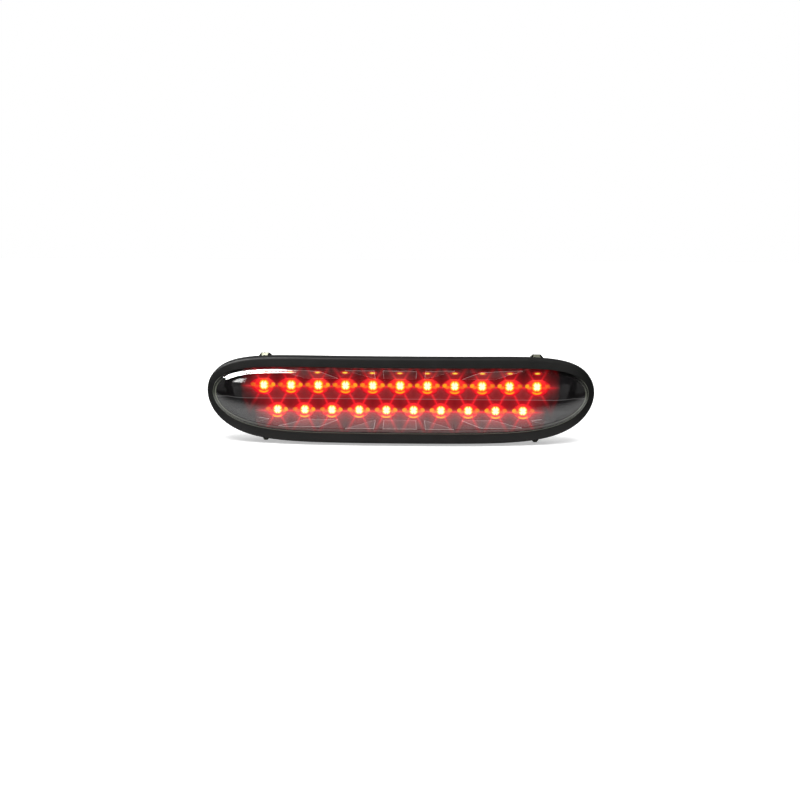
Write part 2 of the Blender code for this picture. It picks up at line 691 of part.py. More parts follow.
def make_vent(paint):
    rings = [
        circle(VENT_RADIUS, HOUSING_BACK + GAP, ROUND_STEPS),
        circle(VENT_RADIUS, HOUSING_BACK + 0.7 * VENT_HEIGHT, ROUND_STEPS),
        circle(0.8 * VENT_RADIUS, HOUSING_BACK + VENT_HEIGHT, ROUND_STEPS),
    ]
    place("vent_cap", mesh_of("vent_cap", [rings]), paint, (VENT_OFFSET, 0.0, 0.0))


def main():
    clear_scene()
    black_plastic = material("black_plastic", (0.012, 0.012, 0.013), 0.5)
    gold_tin = material("tinned_brass", (0.72, 0.68, 0.58), 0.3, 1.0)
    make_lens(material("clear_lens", (0.86, 0.87, 0.80), 0.05))
    make_frame(material("rubber", (0.022, 0.022, 0.022), 0.62))
    make_seal(material("sealant", (0.30, 0.30, 0.29), 0.6))
    make_housing(black_plastic)
    make_bezel(material("gloss_black", (0.010, 0.009, 0.010), 0.12))
    make_board(material("solder_mask", (0.02, 0.09, 0.04), 0.4))
    make_leds(material("led_red", (0.75, 0.03, 0.02), 0.15))
    make_board_screws(material("screw_steel", (0.55, 0.56, 0.58), 0.3, 1.0))
    chip_black = material("chip_black", (0.02, 0.02, 0.02), 0.4)
    make_chips(chip_black, material("diode_black", (0.03, 0.03, 0.03), 0.5))
    make_socket(material("socket_plastic", (0.05, 0.05, 0.055), 0.45))
    make_terminals(gold_tin)
    make_clips(material("zinc_steel", (0.62, 0.63, 0.56), 0.35, 1.0))
    make_vent(material("vent_grey", (0.20, 0.20, 0.20), 0.6))


main()
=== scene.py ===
"""Builds the looks of a high-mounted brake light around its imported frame.

The lamp is a clear domed lens in a rubber frame, over a gloss black tray whose two stepped
ridges hold rows of red lamps in bright cups. Sizes are metres; the lamp looks along -Y.
"""
import math

import bmesh
import bpy
import numpy as np
from mathutils import Matrix, Vector


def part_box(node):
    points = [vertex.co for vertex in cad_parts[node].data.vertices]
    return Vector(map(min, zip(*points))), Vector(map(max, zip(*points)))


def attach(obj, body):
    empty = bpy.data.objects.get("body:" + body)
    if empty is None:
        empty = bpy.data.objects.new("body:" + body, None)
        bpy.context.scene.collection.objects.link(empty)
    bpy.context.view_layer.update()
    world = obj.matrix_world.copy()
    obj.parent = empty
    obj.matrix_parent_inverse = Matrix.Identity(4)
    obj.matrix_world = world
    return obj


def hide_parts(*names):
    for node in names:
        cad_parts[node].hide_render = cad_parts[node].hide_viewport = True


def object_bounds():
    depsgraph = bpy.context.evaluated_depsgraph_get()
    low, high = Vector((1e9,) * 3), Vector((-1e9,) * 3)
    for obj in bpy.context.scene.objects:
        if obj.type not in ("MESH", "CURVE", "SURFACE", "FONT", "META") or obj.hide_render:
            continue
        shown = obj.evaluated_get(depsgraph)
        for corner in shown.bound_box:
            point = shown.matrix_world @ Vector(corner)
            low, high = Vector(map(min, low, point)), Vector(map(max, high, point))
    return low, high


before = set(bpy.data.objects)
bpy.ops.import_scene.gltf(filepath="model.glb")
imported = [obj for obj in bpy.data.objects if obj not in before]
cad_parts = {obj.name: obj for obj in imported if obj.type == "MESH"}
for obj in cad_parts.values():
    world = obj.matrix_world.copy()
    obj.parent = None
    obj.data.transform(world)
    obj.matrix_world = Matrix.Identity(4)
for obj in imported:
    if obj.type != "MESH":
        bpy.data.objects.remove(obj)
CAD_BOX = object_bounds()

bl_info = {
    "name": "Brake Light Looks",
    "version": (1, 0, 0),
    "blender": (4, 5, 0),
    "location": "3D View > Sidebar > Brake Light",
    "description": "Builds the detailed pieces and finishes of a high-mounted brake light",
    "category": "Object",
}

MM = 0.001
BODY = "lamp"

# The lozenge outline and how its ends sweep back and climb.
FRAME_LOW, FRAME_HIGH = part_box("rubber_frame")
LENS_LOW, _LENS_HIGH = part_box("outer_lens")
HOUSING_LOW, HOUSING_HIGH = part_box("housing")
BEZEL_LOW, _BEZEL_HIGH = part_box("bezel")
HALF_WIDTH = FRAME_HIGH.x
HALF_HEIGHT = -FRAME_LOW.z
END_SWEEP = 14.0 * MM
END_RISE = 3.5 * MM
SWEEP_POWER = 2.5
RISE_POWER = 5.0
LOZENGE_POWER = 6.5
END_BAND_RATIO = 0.62
QUADRANT_STEPS = 36
TURN_WEIGHT = 35.0 * MM
GAP = 0.3 * MM

# Depths and half heights shared with the frame.
FRAME_FRONT = FRAME_LOW.y
LENS_CROWN = FRAME_FRONT - LENS_LOW.y
LENS_WALL = 2.0 * MM
FRAME_BAND = 5.7 * MM
OPENING = HALF_HEIGHT - FRAME_BAND
LENS_FOOT = OPENING - GAP
FLANGE = -LENS_LOW.z
LIP_BACK = FRAME_FRONT + 2.7 * MM
LENS_FLANGE_FRONT = LIP_BACK + GAP
LENS_FLANGE_BACK = LENS_FLANGE_FRONT + 2.0 * MM
HOUSING_FLANGE_FRONT = HOUSING_LOW.y
HOUSING_FLANGE_BACK = HOUSING_FLANGE_FRONT + 2.0 * MM
HOUSING_BACK = HOUSING_HIGH.y
HOUSING_WALL = 2.0 * MM

# Rows of lamps, read from the frame's own lamps.
UPPER_LAMPS = sorted(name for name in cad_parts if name.startswith("led_upper"))
LOWER_LAMPS = sorted(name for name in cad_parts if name.startswith("led_lower"))
SMOOTH_ANGLE = math.radians(32.0)

# Raised facets of the tray's long walls: (distance from the middle, low and high share).
PANEL_LIFT = 0.45 * MM
PANEL_ROOT = 0.4 * MM           # how deep a panel is sunk in the wall
PANEL_STEP = 3.0 * MM
PANEL_EDGE = 0.16 * MM
MIDDLE_PANEL = (9.3 * MM, 0.16, 0.96)
PANELS = (
    ((14.2 * MM, 0.16, 0.96), (30.0 * MM, 0.14, 0.17)),
    ((36.0 * MM, 0.93, 0.96), (45.0 * MM, 0.28, 0.97), (55.0 * MM, 0.20, 0.97),
     (67.5 * MM, 0.13, 0.18)),
    ((75.5 * MM, 0.75, 0.80), (80.0 * MM, 0.30, 0.82), (88.0 * MM, 0.25, 0.80)),
)

# The stage, in metres and degrees.
OVERHEAD_PLACE = (0.0, -0.55, 1.0)
OVERHEAD_STRENGTH = 3.1
OVERHEAD_ANGLE = 50.0
SOFTBOX_PLACE = (-0.77, -0.07, 1.0)
SOFTBOX_SIZE = (0.50, 0.9)
SOFTBOX_POWER = 40.0
SOFTBOX_TARGET = (-0.075, -0.01, 0.012)
CAMERA_DISTANCE = 0.75
VIEW_WIDTH = 0.4330             # how much the camera sees across at its aim
CAMERA_ELEVATION, CAMERA_YAW, CAMERA_ROLL = 8.0, 1.52, 0.26
TABLE_FADE_NEAR = 0.05
TABLE_FADE_FAR = 0.12
TABLE_FADE_STRETCH = 0.35       # the fade is longer along the lamp than away from it
TABLE_HALF = 2.5
TABLE_DIMMING = 0.45
TABLE_GLOW = 0.42       # the lit table's own light, which lifts the shadow
AMBIENT = 0.55          # what matt surfaces gather from all round
ROOM = 0.03             # what gloss mirrors of the room


def middle(node):
    low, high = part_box(node)
    return (low + high) / 2


LAMP_PITCH = middle(UPPER_LAMPS[1]).x - middle(UPPER_LAMPS[0]).x
UPPER_ROW = middle(UPPER_LAMPS[0]).z
LOWER_ROW = middle(LOWER_LAMPS[0]).z
ROW_MIDDLE = (UPPER_ROW + LOWER_ROW) / 2
LAMP_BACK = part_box(UPPER_LAMPS[0])[1].y
LAMP_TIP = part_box(UPPER_LAMPS[0])[0].y
LAMP_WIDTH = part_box(UPPER_LAMPS[0])[1].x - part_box(UPPER_LAMPS[0])[0].x
LAMP_FACE = LAMP_BACK - 3.5 * MM

# The black tray.
CREST_DEPTH = -2.0 * MM
VALLEY_DEPTH = 1.8 * MM
CEILING_DEPTH = 0.5 * MM
FLOOR_DEPTH = 1.5 * MM
CREST_OVER_UPPER = 1.72 * MM
CREST_OVER_LOWER = 1.02 * MM
VALLEY_LEVEL = ROW_MIDDLE - 0.4 * MM
CEILING_LEVEL = UPPER_ROW + 4.0 * MM
FLOOR_LEVEL = LOWER_ROW - 5.15 * MM
CUP_RADIUS_UPPER = LAMP_PITCH / 2 - 0.32 * MM
CUP_RADIUS_LOWER = LAMP_PITCH / 2 - 1.05 * MM
CUP_SLOPE = 0.8
CUP_BORE = 2.5 * MM
# Painted light: the red glow in the cups, the orange of a lamp's images there, and the yellow of
# its image on the tray's ceiling.
CUP_GLINT_ORANGE = (1.15, 0.58, 0.01, 1.0)
CUP_GLOW_RED = (1.05, 0.008, 0.026)
IMAGE_YELLOW = (0.55, 0.95, 0.05)
TRAY_WALL = 1.6 * MM
TRAY_SLANT = 1.28               # the tray's walls carried on past its floor
BEZEL_BACK = LAMP_FACE - GAP
TRAY_MOUTH = OPENING - 0.8 * MM
TRAY_END_INSET = 5.8 * MM
RIDGE_STRAIGHT = (len(UPPER_LAMPS) - 1) / 2 * LAMP_PITCH + 8.0 * MM
RIDGE_BEND = 0.85

# Red light painted on the tray round each lamp, and painted images of a lamp in its cup.
POOL_REACH, POOL_LIGHT = 3.3 * MM, 1.7
RAY_REACH, RAY_LIGHT, RAY_SHARPNESS = 5.0 * MM, 1.4, 26.0
BAND_REACH, BAND_LIGHT = 1.3 * MM, 0.6
SPILL_PAST_ROW = (4.0 * MM, 13.0 * MM)      # where it starts and ends to fade past the last lamp
IMAGE_SIZE = (1.8 * MM, 0.6 * MM)
HALO_SIZE = (3.4 * MM, 1.5 * MM)
GLINT_RADIUS = 3.75 * MM
GLINT_EDGE = (0.1 * MM, 0.62 * MM)
TOWARDS_SPAN, TOWARDS_MIDDLE = 150.0 * MM, 0.80      # corner glints are stronger away from x = 0
TIP_SIZE = (1.6 * MM, 1.35 * MM)
STREAK_SIZE, STREAK_LIGHT = (1.9 * MM, 1.0 * MM), 0.45
TIP_INSET_UPPER = 1.6 * MM
TIP_INSET_LOWER = 1.4 * MM
IMAGE_ABOVE = 7.6 * MM          # a lamp's image in the tray's ceiling, over the lamp

# The housing's back.
RIB_SIZE = (1.3 * MM, 9.0 * MM)
RIB_PITCH = 12.0 * MM
RIB_COUNT = 11
RIB_LEVEL = 10.5 * MM
SOCKET_OUTER = (14.0 * MM, 9.0 * MM)
SOCKET_OPENING = (14.6 * MM, 9.6 * MM)
VENT_STEPS = 48
VENT_LEDGE = 0.35 * MM
VENT_ROUND = 0.5 * MM
VENT_SLOTS = ((-1.4 * MM, 0.75), (0.0, 1.0), (1.4 * MM, 0.75))   # (level, share of the width)
LATCH_WIDTH = 5.0 * MM
LATCH_RAMP = ((0.8 * MM, 0.5 * MM), (1.2 * MM, 0.8 * MM), (3.2 * MM, 1.5 * MM),
              (3.5 * MM, 1.5 * MM))                              # (from the mouth, height)
LATCH_SUNK = 0.3 * MM
KEY_SIZE = (1.1 * MM, 1.6 * MM)
KEY_ENDS = (0.5 * MM, 7.5 * MM)
NYLON = (0.03, 0.03, 0.033)
CLIP_CLOUD = (0.34, 0.34, 0.25)  # the second tone of the clips' passivate


# ---------------------------------------------------------------- outline and mesh helpers

def sweep(x):
    return END_SWEEP * (abs(x) / HALF_WIDTH) ** SWEEP_POWER


def rise(x):
    return END_RISE * (abs(x) / HALF_WIDTH) ** RISE_POWER


def band_width(half_height):
    return HALF_WIDTH - END_BAND_RATIO * (HALF_HEIGHT - half_height)


TRAY_END = band_width(TRAY_MOUTH) - TRAY_END_INSET


def ridge_bow(x):
    past = max(0.0, abs(x) - RIDGE_STRAIGHT)
    return RIDGE_BEND * sweep(x) * (past / (TRAY_END - RIDGE_STRAIGHT)) ** 2


def unit_outline():
    """The lozenge with half sizes of one, its points closer together where it turns."""
    u = np.linspace(0.0, 1.0, 4000)
    angle = 0.5 * np.pi * (1.0 - (1.0 - u) ** 3)
    x = HALF_WIDTH * np.abs(np.cos(angle)) ** (2.0 / LOZENGE_POWER)
    z = HALF_HEIGHT * np.sin(angle)
    dx = np.diff(x)
    dz = np.diff(z)
    heading = np.unwrap(np.arctan2(dz, dx))
    turn = np.abs(np.diff(heading, prepend=heading[0]))
    measure = np.concatenate(([0.0], np.cumsum(np.hypot(dx, dz) + TURN_WEIGHT * turn)))
    wanted = np.linspace(0.0, measure[-1], QUADRANT_STEPS + 1)
    quarter = np.interp(wanted, measure, angle)
    half = np.concatenate((quarter, np.pi - quarter[-2::-1]))
    full = np.concatenate((half, 2.0 * np.pi - half[-2:0:-1]))
    cosine = np.cos(full)
    across = np.sign(cosine) * np.abs(cosine) ** (2.0 / LOZENGE_POWER)
    return [Vector((float(a), 0.0, float(b))) for a, b in zip(across, np.sin(full))]


OUTLINE = unit_outline()


def ring(half_height, depth, half_width=None, drop=0.0, bow=sweep):
    if half_width is None:
        half_width = band_width(half_height)
    points = []
    for unit in OUTLINE:
        x = unit.x * half_width
        points.append(Vector((x, depth + bow(x), unit.z * half_height + rise(x) + drop)))
    return points


def circle(radius, depth, steps, centre=(0.0, 0.0)):
    turns = [2.0 * math.pi * index / steps for index in range(steps)]
    return [Vector((centre[0] + radius * math.cos(a), depth, centre[1] + radius * math.sin(a)))
            for a in turns]


def rounded_rectangle(width, height, radius, depth, steps=5, centre=(0.0, 0.0)):
    """Corners are arcs; the outline runs anticlockwise from the right side's foot."""
    points = []
    for quarter, (sx, sz) in enumerate(((1, -1), (1, 1), (-1, 1), (-1, -1))):
        for step in range(steps + 1):
            angle = math.radians(-90.0 + 90.0 * (quarter + step / steps))
            x = centre[0] + sx * (width / 2 - radius) + radius * math.cos(angle)
            z = centre[1] + sz * (height / 2 - radius) + radius * math.sin(angle)
            points.append(Vector((x, depth, z)))
    return points


def add_loft(mesh, rings, closed=False, capped=True):
    loops = [[mesh.verts.new(point) for point in outline] for outline in rings]
    pairs = list(zip(loops, loops[1:]))
    if closed:
        pairs.append((loops[-1], loops[0]))
    elif capped:
        for verts in (loops[0], loops[-1]):
            add_cap(mesh, verts)
    for first, second in pairs:
        for index in range(len(first)):
            after = (index + 1) % len(first)
            mesh.faces.new((first[index], first[after], second[after], second[index]))


def add_cap(mesh, verts):
    """Close a loop with rungs between its two sides, so a bowed end stays smooth."""
    count = len(verts)
    for index in range(count // 2):
        corners = [verts[index], verts[index + 1]]
        for other in (count - index - 1, count - index):
            if verts[other % count] not in corners:
                corners.append(verts[other % count])
        if len(corners) > 2:
            mesh.faces.new(corners)


def outward(data):
    """Turn a closed mesh the right way out and shade it smooth between its sharp edges."""
    mesh = bmesh.new()
    mesh.from_mesh(data)
    bmesh.ops.recalc_face_normals(mesh, faces=mesh.faces)
    if mesh.calc_volume(signed=True) < 0.0:
        bmesh.ops.reverse_faces(mesh, faces=mesh.faces)
    mesh.to_mesh(data)
    mesh.free()
    data.shade_smooth()
    data.set_sharp_from_angle(angle=SMOOTH_ANGLE)
    return data


def mesh_of(name, parts, closed=False):
    mesh = bmesh.new()
    for rings in parts:
        add_loft(mesh, rings, closed)
    data = bpy.data.meshes.new(name)
    mesh.to_mesh(data)
    mesh.free()
    return outward(data)


def new_object(name, data):
    made = bpy.data.objects.new(name, data)
    bpy.context.scene.collection.objects.link(made)
    return made


def combine(target, other, operation):
    modifier = target.modifiers.new(other.name, "BOOLEAN")
    modifier.operation = operation
    modifier.object = other
    modifier.solver = "EXACT"


def evaluated_mesh(thing):
    graph = bpy.context.evaluated_depsgraph_get()
    shape = bpy.data.meshes.new_from_object(
        thing.evaluated_get(graph), preserve_all_data_layers=True, depsgraph=graph)
    shape.name = thing.name
    return shape


def settle(thing, helpers=()):
    """Replace a piece's mesh by what its modifiers make of it, and drop its helpers."""
    shape = evaluated_mesh(thing)
    thing.modifiers.clear()
    thing.data = shape
    for helper in helpers:
        bpy.data.objects.remove(helper, do_unlink=True)
    return thing


def wear(thing, paint):
    thing.data.materials.clear()
    thing.data.materials.append(paint)


def fit(thing, replaced=(), body=BODY):
    """Join a finished piece to its body and the frame's nodes it stands for."""
    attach(thing, body)
    if replaced:
        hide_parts(*replaced)
    return thing


def round_corners(corners, steps=5):
    """A closed or open profile of (half height, depth, radius) with each corner an arc."""
    count = len(corners)
    points = []
    for index, (high, deep, radius) in enumerate(corners):
        here = Vector((high, deep))
        if radius <= 0.0:
            points.append(here)
            continue
        before = Vector(corners[index - 1][:2])
        after = Vector(corners[(index + 1) % count][:2])
        back = (before - here).normalized()
        ahead = (after - here).normalized()
        half = back.angle(ahead) / 2
        cut = radius / math.tan(half)
        centre = here + (back + ahead).normalized() * (radius / math.sin(half))
        start = here + back * cut - centre
        end = here + ahead * cut - centre
        turn = start.angle_signed(end)
        for step in range(steps + 1):
            spun = start.copy()
            spun.rotate(Matrix.Rotation(-turn * step / steps, 2))
            points.append(centre + spun)
    return points


# ---------------------------------------------------------------- node helpers

class Term:
    """A value in a node tree; arithmetic on terms adds the Math nodes."""

    def __init__(self, tree, socket):
        self.tree = tree
        self.socket = socket

    def math(self, operation, *others, clamp=False):
        node = self.tree.nodes.new("ShaderNodeMath")
        node.operation = operation
        node.use_clamp = clamp
        for index, value in enumerate((self, *others)):
            plug(self.tree, value, node.inputs[index])
        return Term(self.tree, node.outputs[0])

    def __add__(self, other):
        return self.math("ADD", other)

    def __sub__(self, other):
        return self.math("SUBTRACT", other)

    def __mul__(self, other):
        return self.math("MULTIPLY", other)

    def __truediv__(self, other):
        return self.math("DIVIDE", other)

    def __pow__(self, other):
        return self.math("POWER", other)

    def __abs__(self):
        return self.math("ABSOLUTE")


def plug(tree, value, socket):
    if isinstance(value, Term):
        tree.links.new(value.socket, socket)
    elif isinstance(value, bpy.types.NodeSocket):
        tree.links.new(value, socket)
    else:
        socket.default_value = value


def add_node(tree, kind, settings=(), **inputs):
    """A node with its settings and inputs; an underscore in an input's name is a space."""
    node = tree.nodes.new(kind)
    for name, value in dict(settings).items():
        setattr(node, name, value)
    for name, value in inputs.items():
        plug(tree, value, node.inputs[name.replace("_", " ")])
    return node


def split(tree, vector):
    node = add_node(tree, "ShaderNodeSeparateXYZ", Vector=vector)
    return [Term(tree, node.outputs[axis]) for axis in "XYZ"]


def smooth_step(tree, value, low, high, start=0.0, end=1.0):
    """From start to end as the value goes from low to high."""
    node = add_node(tree, "ShaderNodeMapRange", {"interpolation_type": "SMOOTHSTEP"},
                    Value=value, From_Min=low, From_Max=high, To_Min=start, To_Max=end)
    return Term(tree, node.outputs["Result"])


def noise(tree, scale, detail=4.0, roughness=0.5, vector=None):
    node = add_node(tree, "ShaderNodeTexNoise", Scale=scale, Detail=detail, Roughness=roughness)
    if vector is None:
        vector = object_point(tree)
    plug(tree, vector, node.inputs["Vector"])
    return Term(tree, node.outputs["Fac"])


def object_point(tree):
    return tree.nodes.new("ShaderNodeTexCoord").outputs["Object"]


def blend_colours(tree, factor, first, second):
    node = add_node(tree, "ShaderNodeMix", {"data_type": "RGBA"})
    plug(tree, factor, node.inputs["Factor"])
    plug(tree, first, node.inputs[6])
    plug(tree, second, node.inputs[7])
    return node.outputs[2]


def bump(tree, height, distance, strength=1.0):
    node = add_node(tree, "ShaderNodeBump", Height=height, Distance=distance, Strength=strength)
    return node.outputs["Normal"]


def new_material(name, **values):
    """A Principled material; keyword values are set on the shader's own sockets."""
    made = bpy.data.materials.new(name)
    made.use_nodes = True
    tree = made.node_tree
    shader = tree.nodes["Principled BSDF"]
    for key, value in values.items():
        shader.inputs[key.replace("_", " ")].default_value = value
    return made, tree, shader


def modifier_input(modifier, name, value):
    for item in modifier.node_group.interface.items_tree:
        if item.item_type == "SOCKET" and item.in_out == "INPUT" and item.name == name:
            modifier[item.identifier] = value
            return
    raise KeyError(name)


def new_tree(name, sockets):
    tree = bpy.data.node_groups.new(name, "GeometryNodeTree")
    for label, kind in sockets:
        tree.interface.new_socket(label, in_out="INPUT", socket_type="NodeSocket" + kind)
    tree.interface.new_socket("Geometry", in_out="OUTPUT", socket_type="NodeSocketGeometry")
    return tree, tree.nodes.new("NodeGroupInput").outputs, tree.nodes.new("NodeGroupOutput")


def grown(name, tree, values, helpers=()):
    """A piece made by a geometry tree, settled into a plain mesh."""
    thing = new_object(name, bpy.data.meshes.new(name))
    modifier = thing.modifiers.new("shape", "NODES")
    modifier.node_group = tree
    for label, value in values.items():
        modifier_input(modifier, label, value)
    settle(thing, helpers)
    return thing


def lozenge_tree():
    """Sweep a profile round the lozenge; both come in as points with their values."""
    tree, inputs, output = new_tree("lozenge_sweep", (
        ("Outline", "Object"), ("Profile", "Object"), ("Around", "Int"), ("Along", "Int"),
        ("Half Width", "Float"), ("End Sweep", "Float"), ("End Rise", "Float"),
        ("Finish", "Material")))
    around = Term(tree, inputs["Around"])
    along = Term(tree, inputs["Along"])
    grid = add_node(tree, "GeometryNodeMeshGrid")
    plug(tree, around + 1.0, grid.inputs["Vertices X"])
    plug(tree, along, grid.inputs["Vertices Y"])
    index = Term(tree, tree.nodes.new("GeometryNodeInputIndex").outputs[0])
    column = ((index + 0.5) / along).math("FLOOR")
    row = index - column * along
    wrapped = column.math("FLOORED_MODULO", around)
    unit = sampled(tree, inputs["Outline"], wrapped, "FLOAT_VECTOR")
    place = sampled(tree, inputs["Profile"], row, "FLOAT_VECTOR")
    width = Term(tree, sampled(tree, inputs["Profile"], row, "FLOAT", "half_width"))
    unit_x, _unit_y, unit_z = split(tree, unit)
    height, depth, share = split(tree, place)
    x = unit_x * width
    reach = abs(x) / inputs["Half Width"]
    y = depth + (reach ** SWEEP_POWER) * share * inputs["End Sweep"]
    z = unit_z * height + (reach ** RISE_POWER) * inputs["End Rise"]
    moved = add_node(tree, "ShaderNodeCombineXYZ", X=x, Y=y, Z=z)
    placed = add_node(tree, "GeometryNodeSetPosition", Geometry=grid.outputs["Mesh"],
                      Position=moved.outputs[0])
    merged = add_node(tree, "GeometryNodeMergeByDistance", Geometry=placed.outputs[0],
                      Distance=0.002 * MM)
    real = add_node(tree, "GeometryNodeRealizeInstances", Geometry=merged.outputs[0])
    finished = add_node(tree, "GeometryNodeSetMaterial", Geometry=real.outputs[0],
                        Material=inputs["Finish"])
    tree.links.new(finished.outputs[0], output.inputs[0])
    return tree


def sampled(tree, source, index, kind, attribute=None):
    """A value of a helper object's point: its position, or a named attribute."""
    info = add_node(tree, "GeometryNodeObjectInfo", Object=source)
    if attribute is None:
        value = tree.nodes.new("GeometryNodeInputPosition").outputs[0]
    else:
        value = add_node(tree, "GeometryNodeInputNamedAttribute", {"data_type": kind},
                         Name=attribute).outputs["Attribute"]
    node = add_node(tree, "GeometryNodeSampleIndex", {"data_type": kind, "domain": "POINT"})
    tree.links.new(info.outputs["Geometry"], node.inputs["Geometry"])
    tree.links.new(value, node.inputs["Value"])
    plug(tree, index, node.inputs["Index"])
    return node.outputs["Value"]


def points_object(name, points, half_widths=None):
    data = bpy.data.meshes.new(name)
    data.from_pydata([tuple(point) for point in points], [], [])
    if half_widths is not None:
        values = data.attributes.new("half_width", "FLOAT", "POINT")
        values.data.foreach_set("value", half_widths)
    return new_object(name, data)


def swept(name, profile, paint):
    """A main piece: profile entries give half height, depth, half width and sweep share."""
    outline = points_object("outline_points", OUTLINE)
    stations = [(height, depth, share) for height, depth, _width, share in profile]
    widths = [width for _height, _depth, width, _share in profile]
    stations = points_object("profile_points", stations, widths)
    piece = grown(name, lozenge_tree(), {
        "Outline": outline, "Profile": stations, "Around": len(OUTLINE),
        "Along": len(profile), "Half Width": HALF_WIDTH, "End Sweep": END_SWEEP,
        "End Rise": END_RISE, "Finish": paint}, (outline, stations))
    outward(piece.data)
    return piece


def banded(points, share=1.0):
    """Profile entries whose half width keeps the band's distance from the outer edge."""
    return [(point.x, point.y, band_width(point.x), share) for point in points]


# ---------------------------------------------------------------- settings

def colour_property(name, description, default):
    return bpy.props.FloatVectorProperty(
        name=name, description=description, subtype="COLOR", size=3, min=0.0, max=1.0,
        default=default)


class BrakeLightFinishes(bpy.types.PropertyGroup):
    """Colours of the lamp's finishes."""
    # Colour of the glow painted on the lens where it is seen on edge.
    lens_edge_glow: colour_property(
        "Lens Edge", "Tint of the clear lens seen on edge", (0.50, 0.53, 0.43))
    rubber: colour_property("Rubber", "Colour of the rubber frame", (0.0125, 0.0125, 0.012))
    tray: colour_property("Tray", "Colour of the gloss tray", (0.006, 0.005, 0.006))
    # Painted light: this colour is only used for the lamps' red light painted on the tray and its
    # facets.
    glow: colour_property("Glow", "Colour of the lit lamps", (1.0, 0.008, 0.02))
    housing: colour_property("Housing", "Colour of the housing", (0.014, 0.014, 0.015))
    clip: colour_property("Clips", "Colour of the spring clips", (0.22, 0.23, 0.19))
    glow_strength: bpy.props.FloatProperty(
        name="Glow Strength", description="Light given by a lamp's core", default=1.0, min=0.0)


class BrakeLightShapes(bpy.types.PropertyGroup):
    """Sizes of the fine details."""
    frame_corner: bpy.props.FloatProperty(
        name="Frame Corner", description="Radius of the rubber frame's front corners",
        default=1.5 * MM, min=0.0, unit="LENGTH")
    tray_bevel: bpy.props.FloatProperty(
        name="Tray Bevel", description="Width of the bevel on the tray's edges",
        default=0.10 * MM, min=0.0, unit="LENGTH")
    rib_height: bpy.props.FloatProperty(
        name="Rib Height", description="Height of the ribs on the housing's back",
        default=1.2 * MM, min=0.0, unit="LENGTH")
    floor_drop: bpy.props.FloatProperty(
        name="Floor Drop", description="Gap between the lamp's lowest point and the floor",
        default=0.0, min=0.0, unit="LENGTH")


# ---------------------------------------------------------------- finishes

def lens_finish(finishes):
    """Thin clear acrylic: it mirrors more towards its edges, and a painted glow makes it pale where
    seen on edge.
    """
    made = bpy.data.materials.new("clear_acrylic")
    made.use_nodes = True
    tree = made.node_tree
    tree.nodes.clear()
    output = tree.nodes.new("ShaderNodeOutputMaterial")
    facing = Term(tree, add_node(tree, "ShaderNodeLayerWeight", Blend=0.5).outputs["Facing"])
    mirrored = (facing ** 5.0) * 0.92 + 0.08
    clear = add_node(tree, "ShaderNodeBsdfTransparent", Color=(0.985, 0.985, 0.98, 1.0))
    shine = add_node(tree, "ShaderNodeBsdfGlossy", Color=(1.0, 1.0, 1.0, 1.0), Roughness=0.015)
    flow = noise(tree, 25.0, 1.0)
    plug(tree, bump(tree, flow, 0.02 * MM), shine.inputs["Normal"])
    body = add_node(tree, "ShaderNodeMixShader", Fac=mirrored)
    tree.links.new(clear.outputs[0], body.inputs[1])
    tree.links.new(shine.outputs[0], body.inputs[2])
    # Painted light: the lens glows pale where it is seen on edge.
    lit_edge = add_node(tree, "ShaderNodeEmission", Color=(*finishes.lens_edge_glow, 1.0), Strength=0.55)
    amount = smooth_step(tree, facing, 0.66, 0.95, 0.0, 0.75)
    final = add_node(tree, "ShaderNodeMixShader", Fac=amount)
    tree.links.new(body.outputs[0], final.inputs[1])
    tree.links.new(lit_edge.outputs[0], final.inputs[2])
    tree.links.new(final.outputs[0], output.inputs["Surface"])
    return made


def rubber_finish(finishes):
    made, tree, shader = new_material("moulded_rubber", Roughness=0.55, Specular_IOR_Level=0.22)
    mottled = noise(tree, 90.0, 3.0)
    dark = [0.8 * channel for channel in finishes.rubber]
    light = [1.35 * channel for channel in finishes.rubber]
    colour = blend_colours(tree, mottled, (*dark, 1.0), (*light, 1.0))
    x, _y, _z = split(tree, object_point(tree))
    # Painted shade: the rubber is darker towards its two ends.
    wear_and_painted_shade = smooth_step(tree, abs(x), 0.82 * HALF_WIDTH, HALF_WIDTH, 1.0, 0.3)
    shaded = add_node(tree, "ShaderNodeVectorMath", {"operation": "SCALE"}, Scale=wear_and_painted_shade)
    plug(tree, colour, shaded.inputs[0])
    plug(tree, shaded.outputs[0], shader.inputs["Base Color"])
    plug(tree, smooth_step(tree, noise(tree, 240.0, 3.0), 0.3, 0.7, 0.48, 0.62),
         shader.inputs["Roughness"])
    grain = noise(tree, 1900.0, 5.0, 0.6)
    plug(tree, bump(tree, grain, 0.03 * MM), shader.inputs["Normal"])
    return made


def plastic_finish(name, colour, grain_scale, grain_depth, roughness):
    """Moulded plastic with an even spark-eroded grain."""
    made, tree, shader = new_material(name, Roughness=roughness)
    tone = noise(tree, 60.0, 2.0)
    darker = [0.92 * channel for channel in colour]
    lighter = [1.1 * channel for channel in colour]
    plug(tree, blend_colours(tree, tone, (*darker, 1.0), (*lighter, 1.0)),
         shader.inputs["Base Color"])
    wear_and_painted_shade = noise(tree, 400.0, 3.0)
    plug(tree, smooth_step(tree, wear_and_painted_shade, 0.3, 0.7, roughness - 0.06, roughness + 0.08),
         shader.inputs["Roughness"])
    grain = noise(tree, grain_scale, 4.0, 0.65)
    plug(tree, bump(tree, grain, grain_depth), shader.inputs["Normal"])
    return made


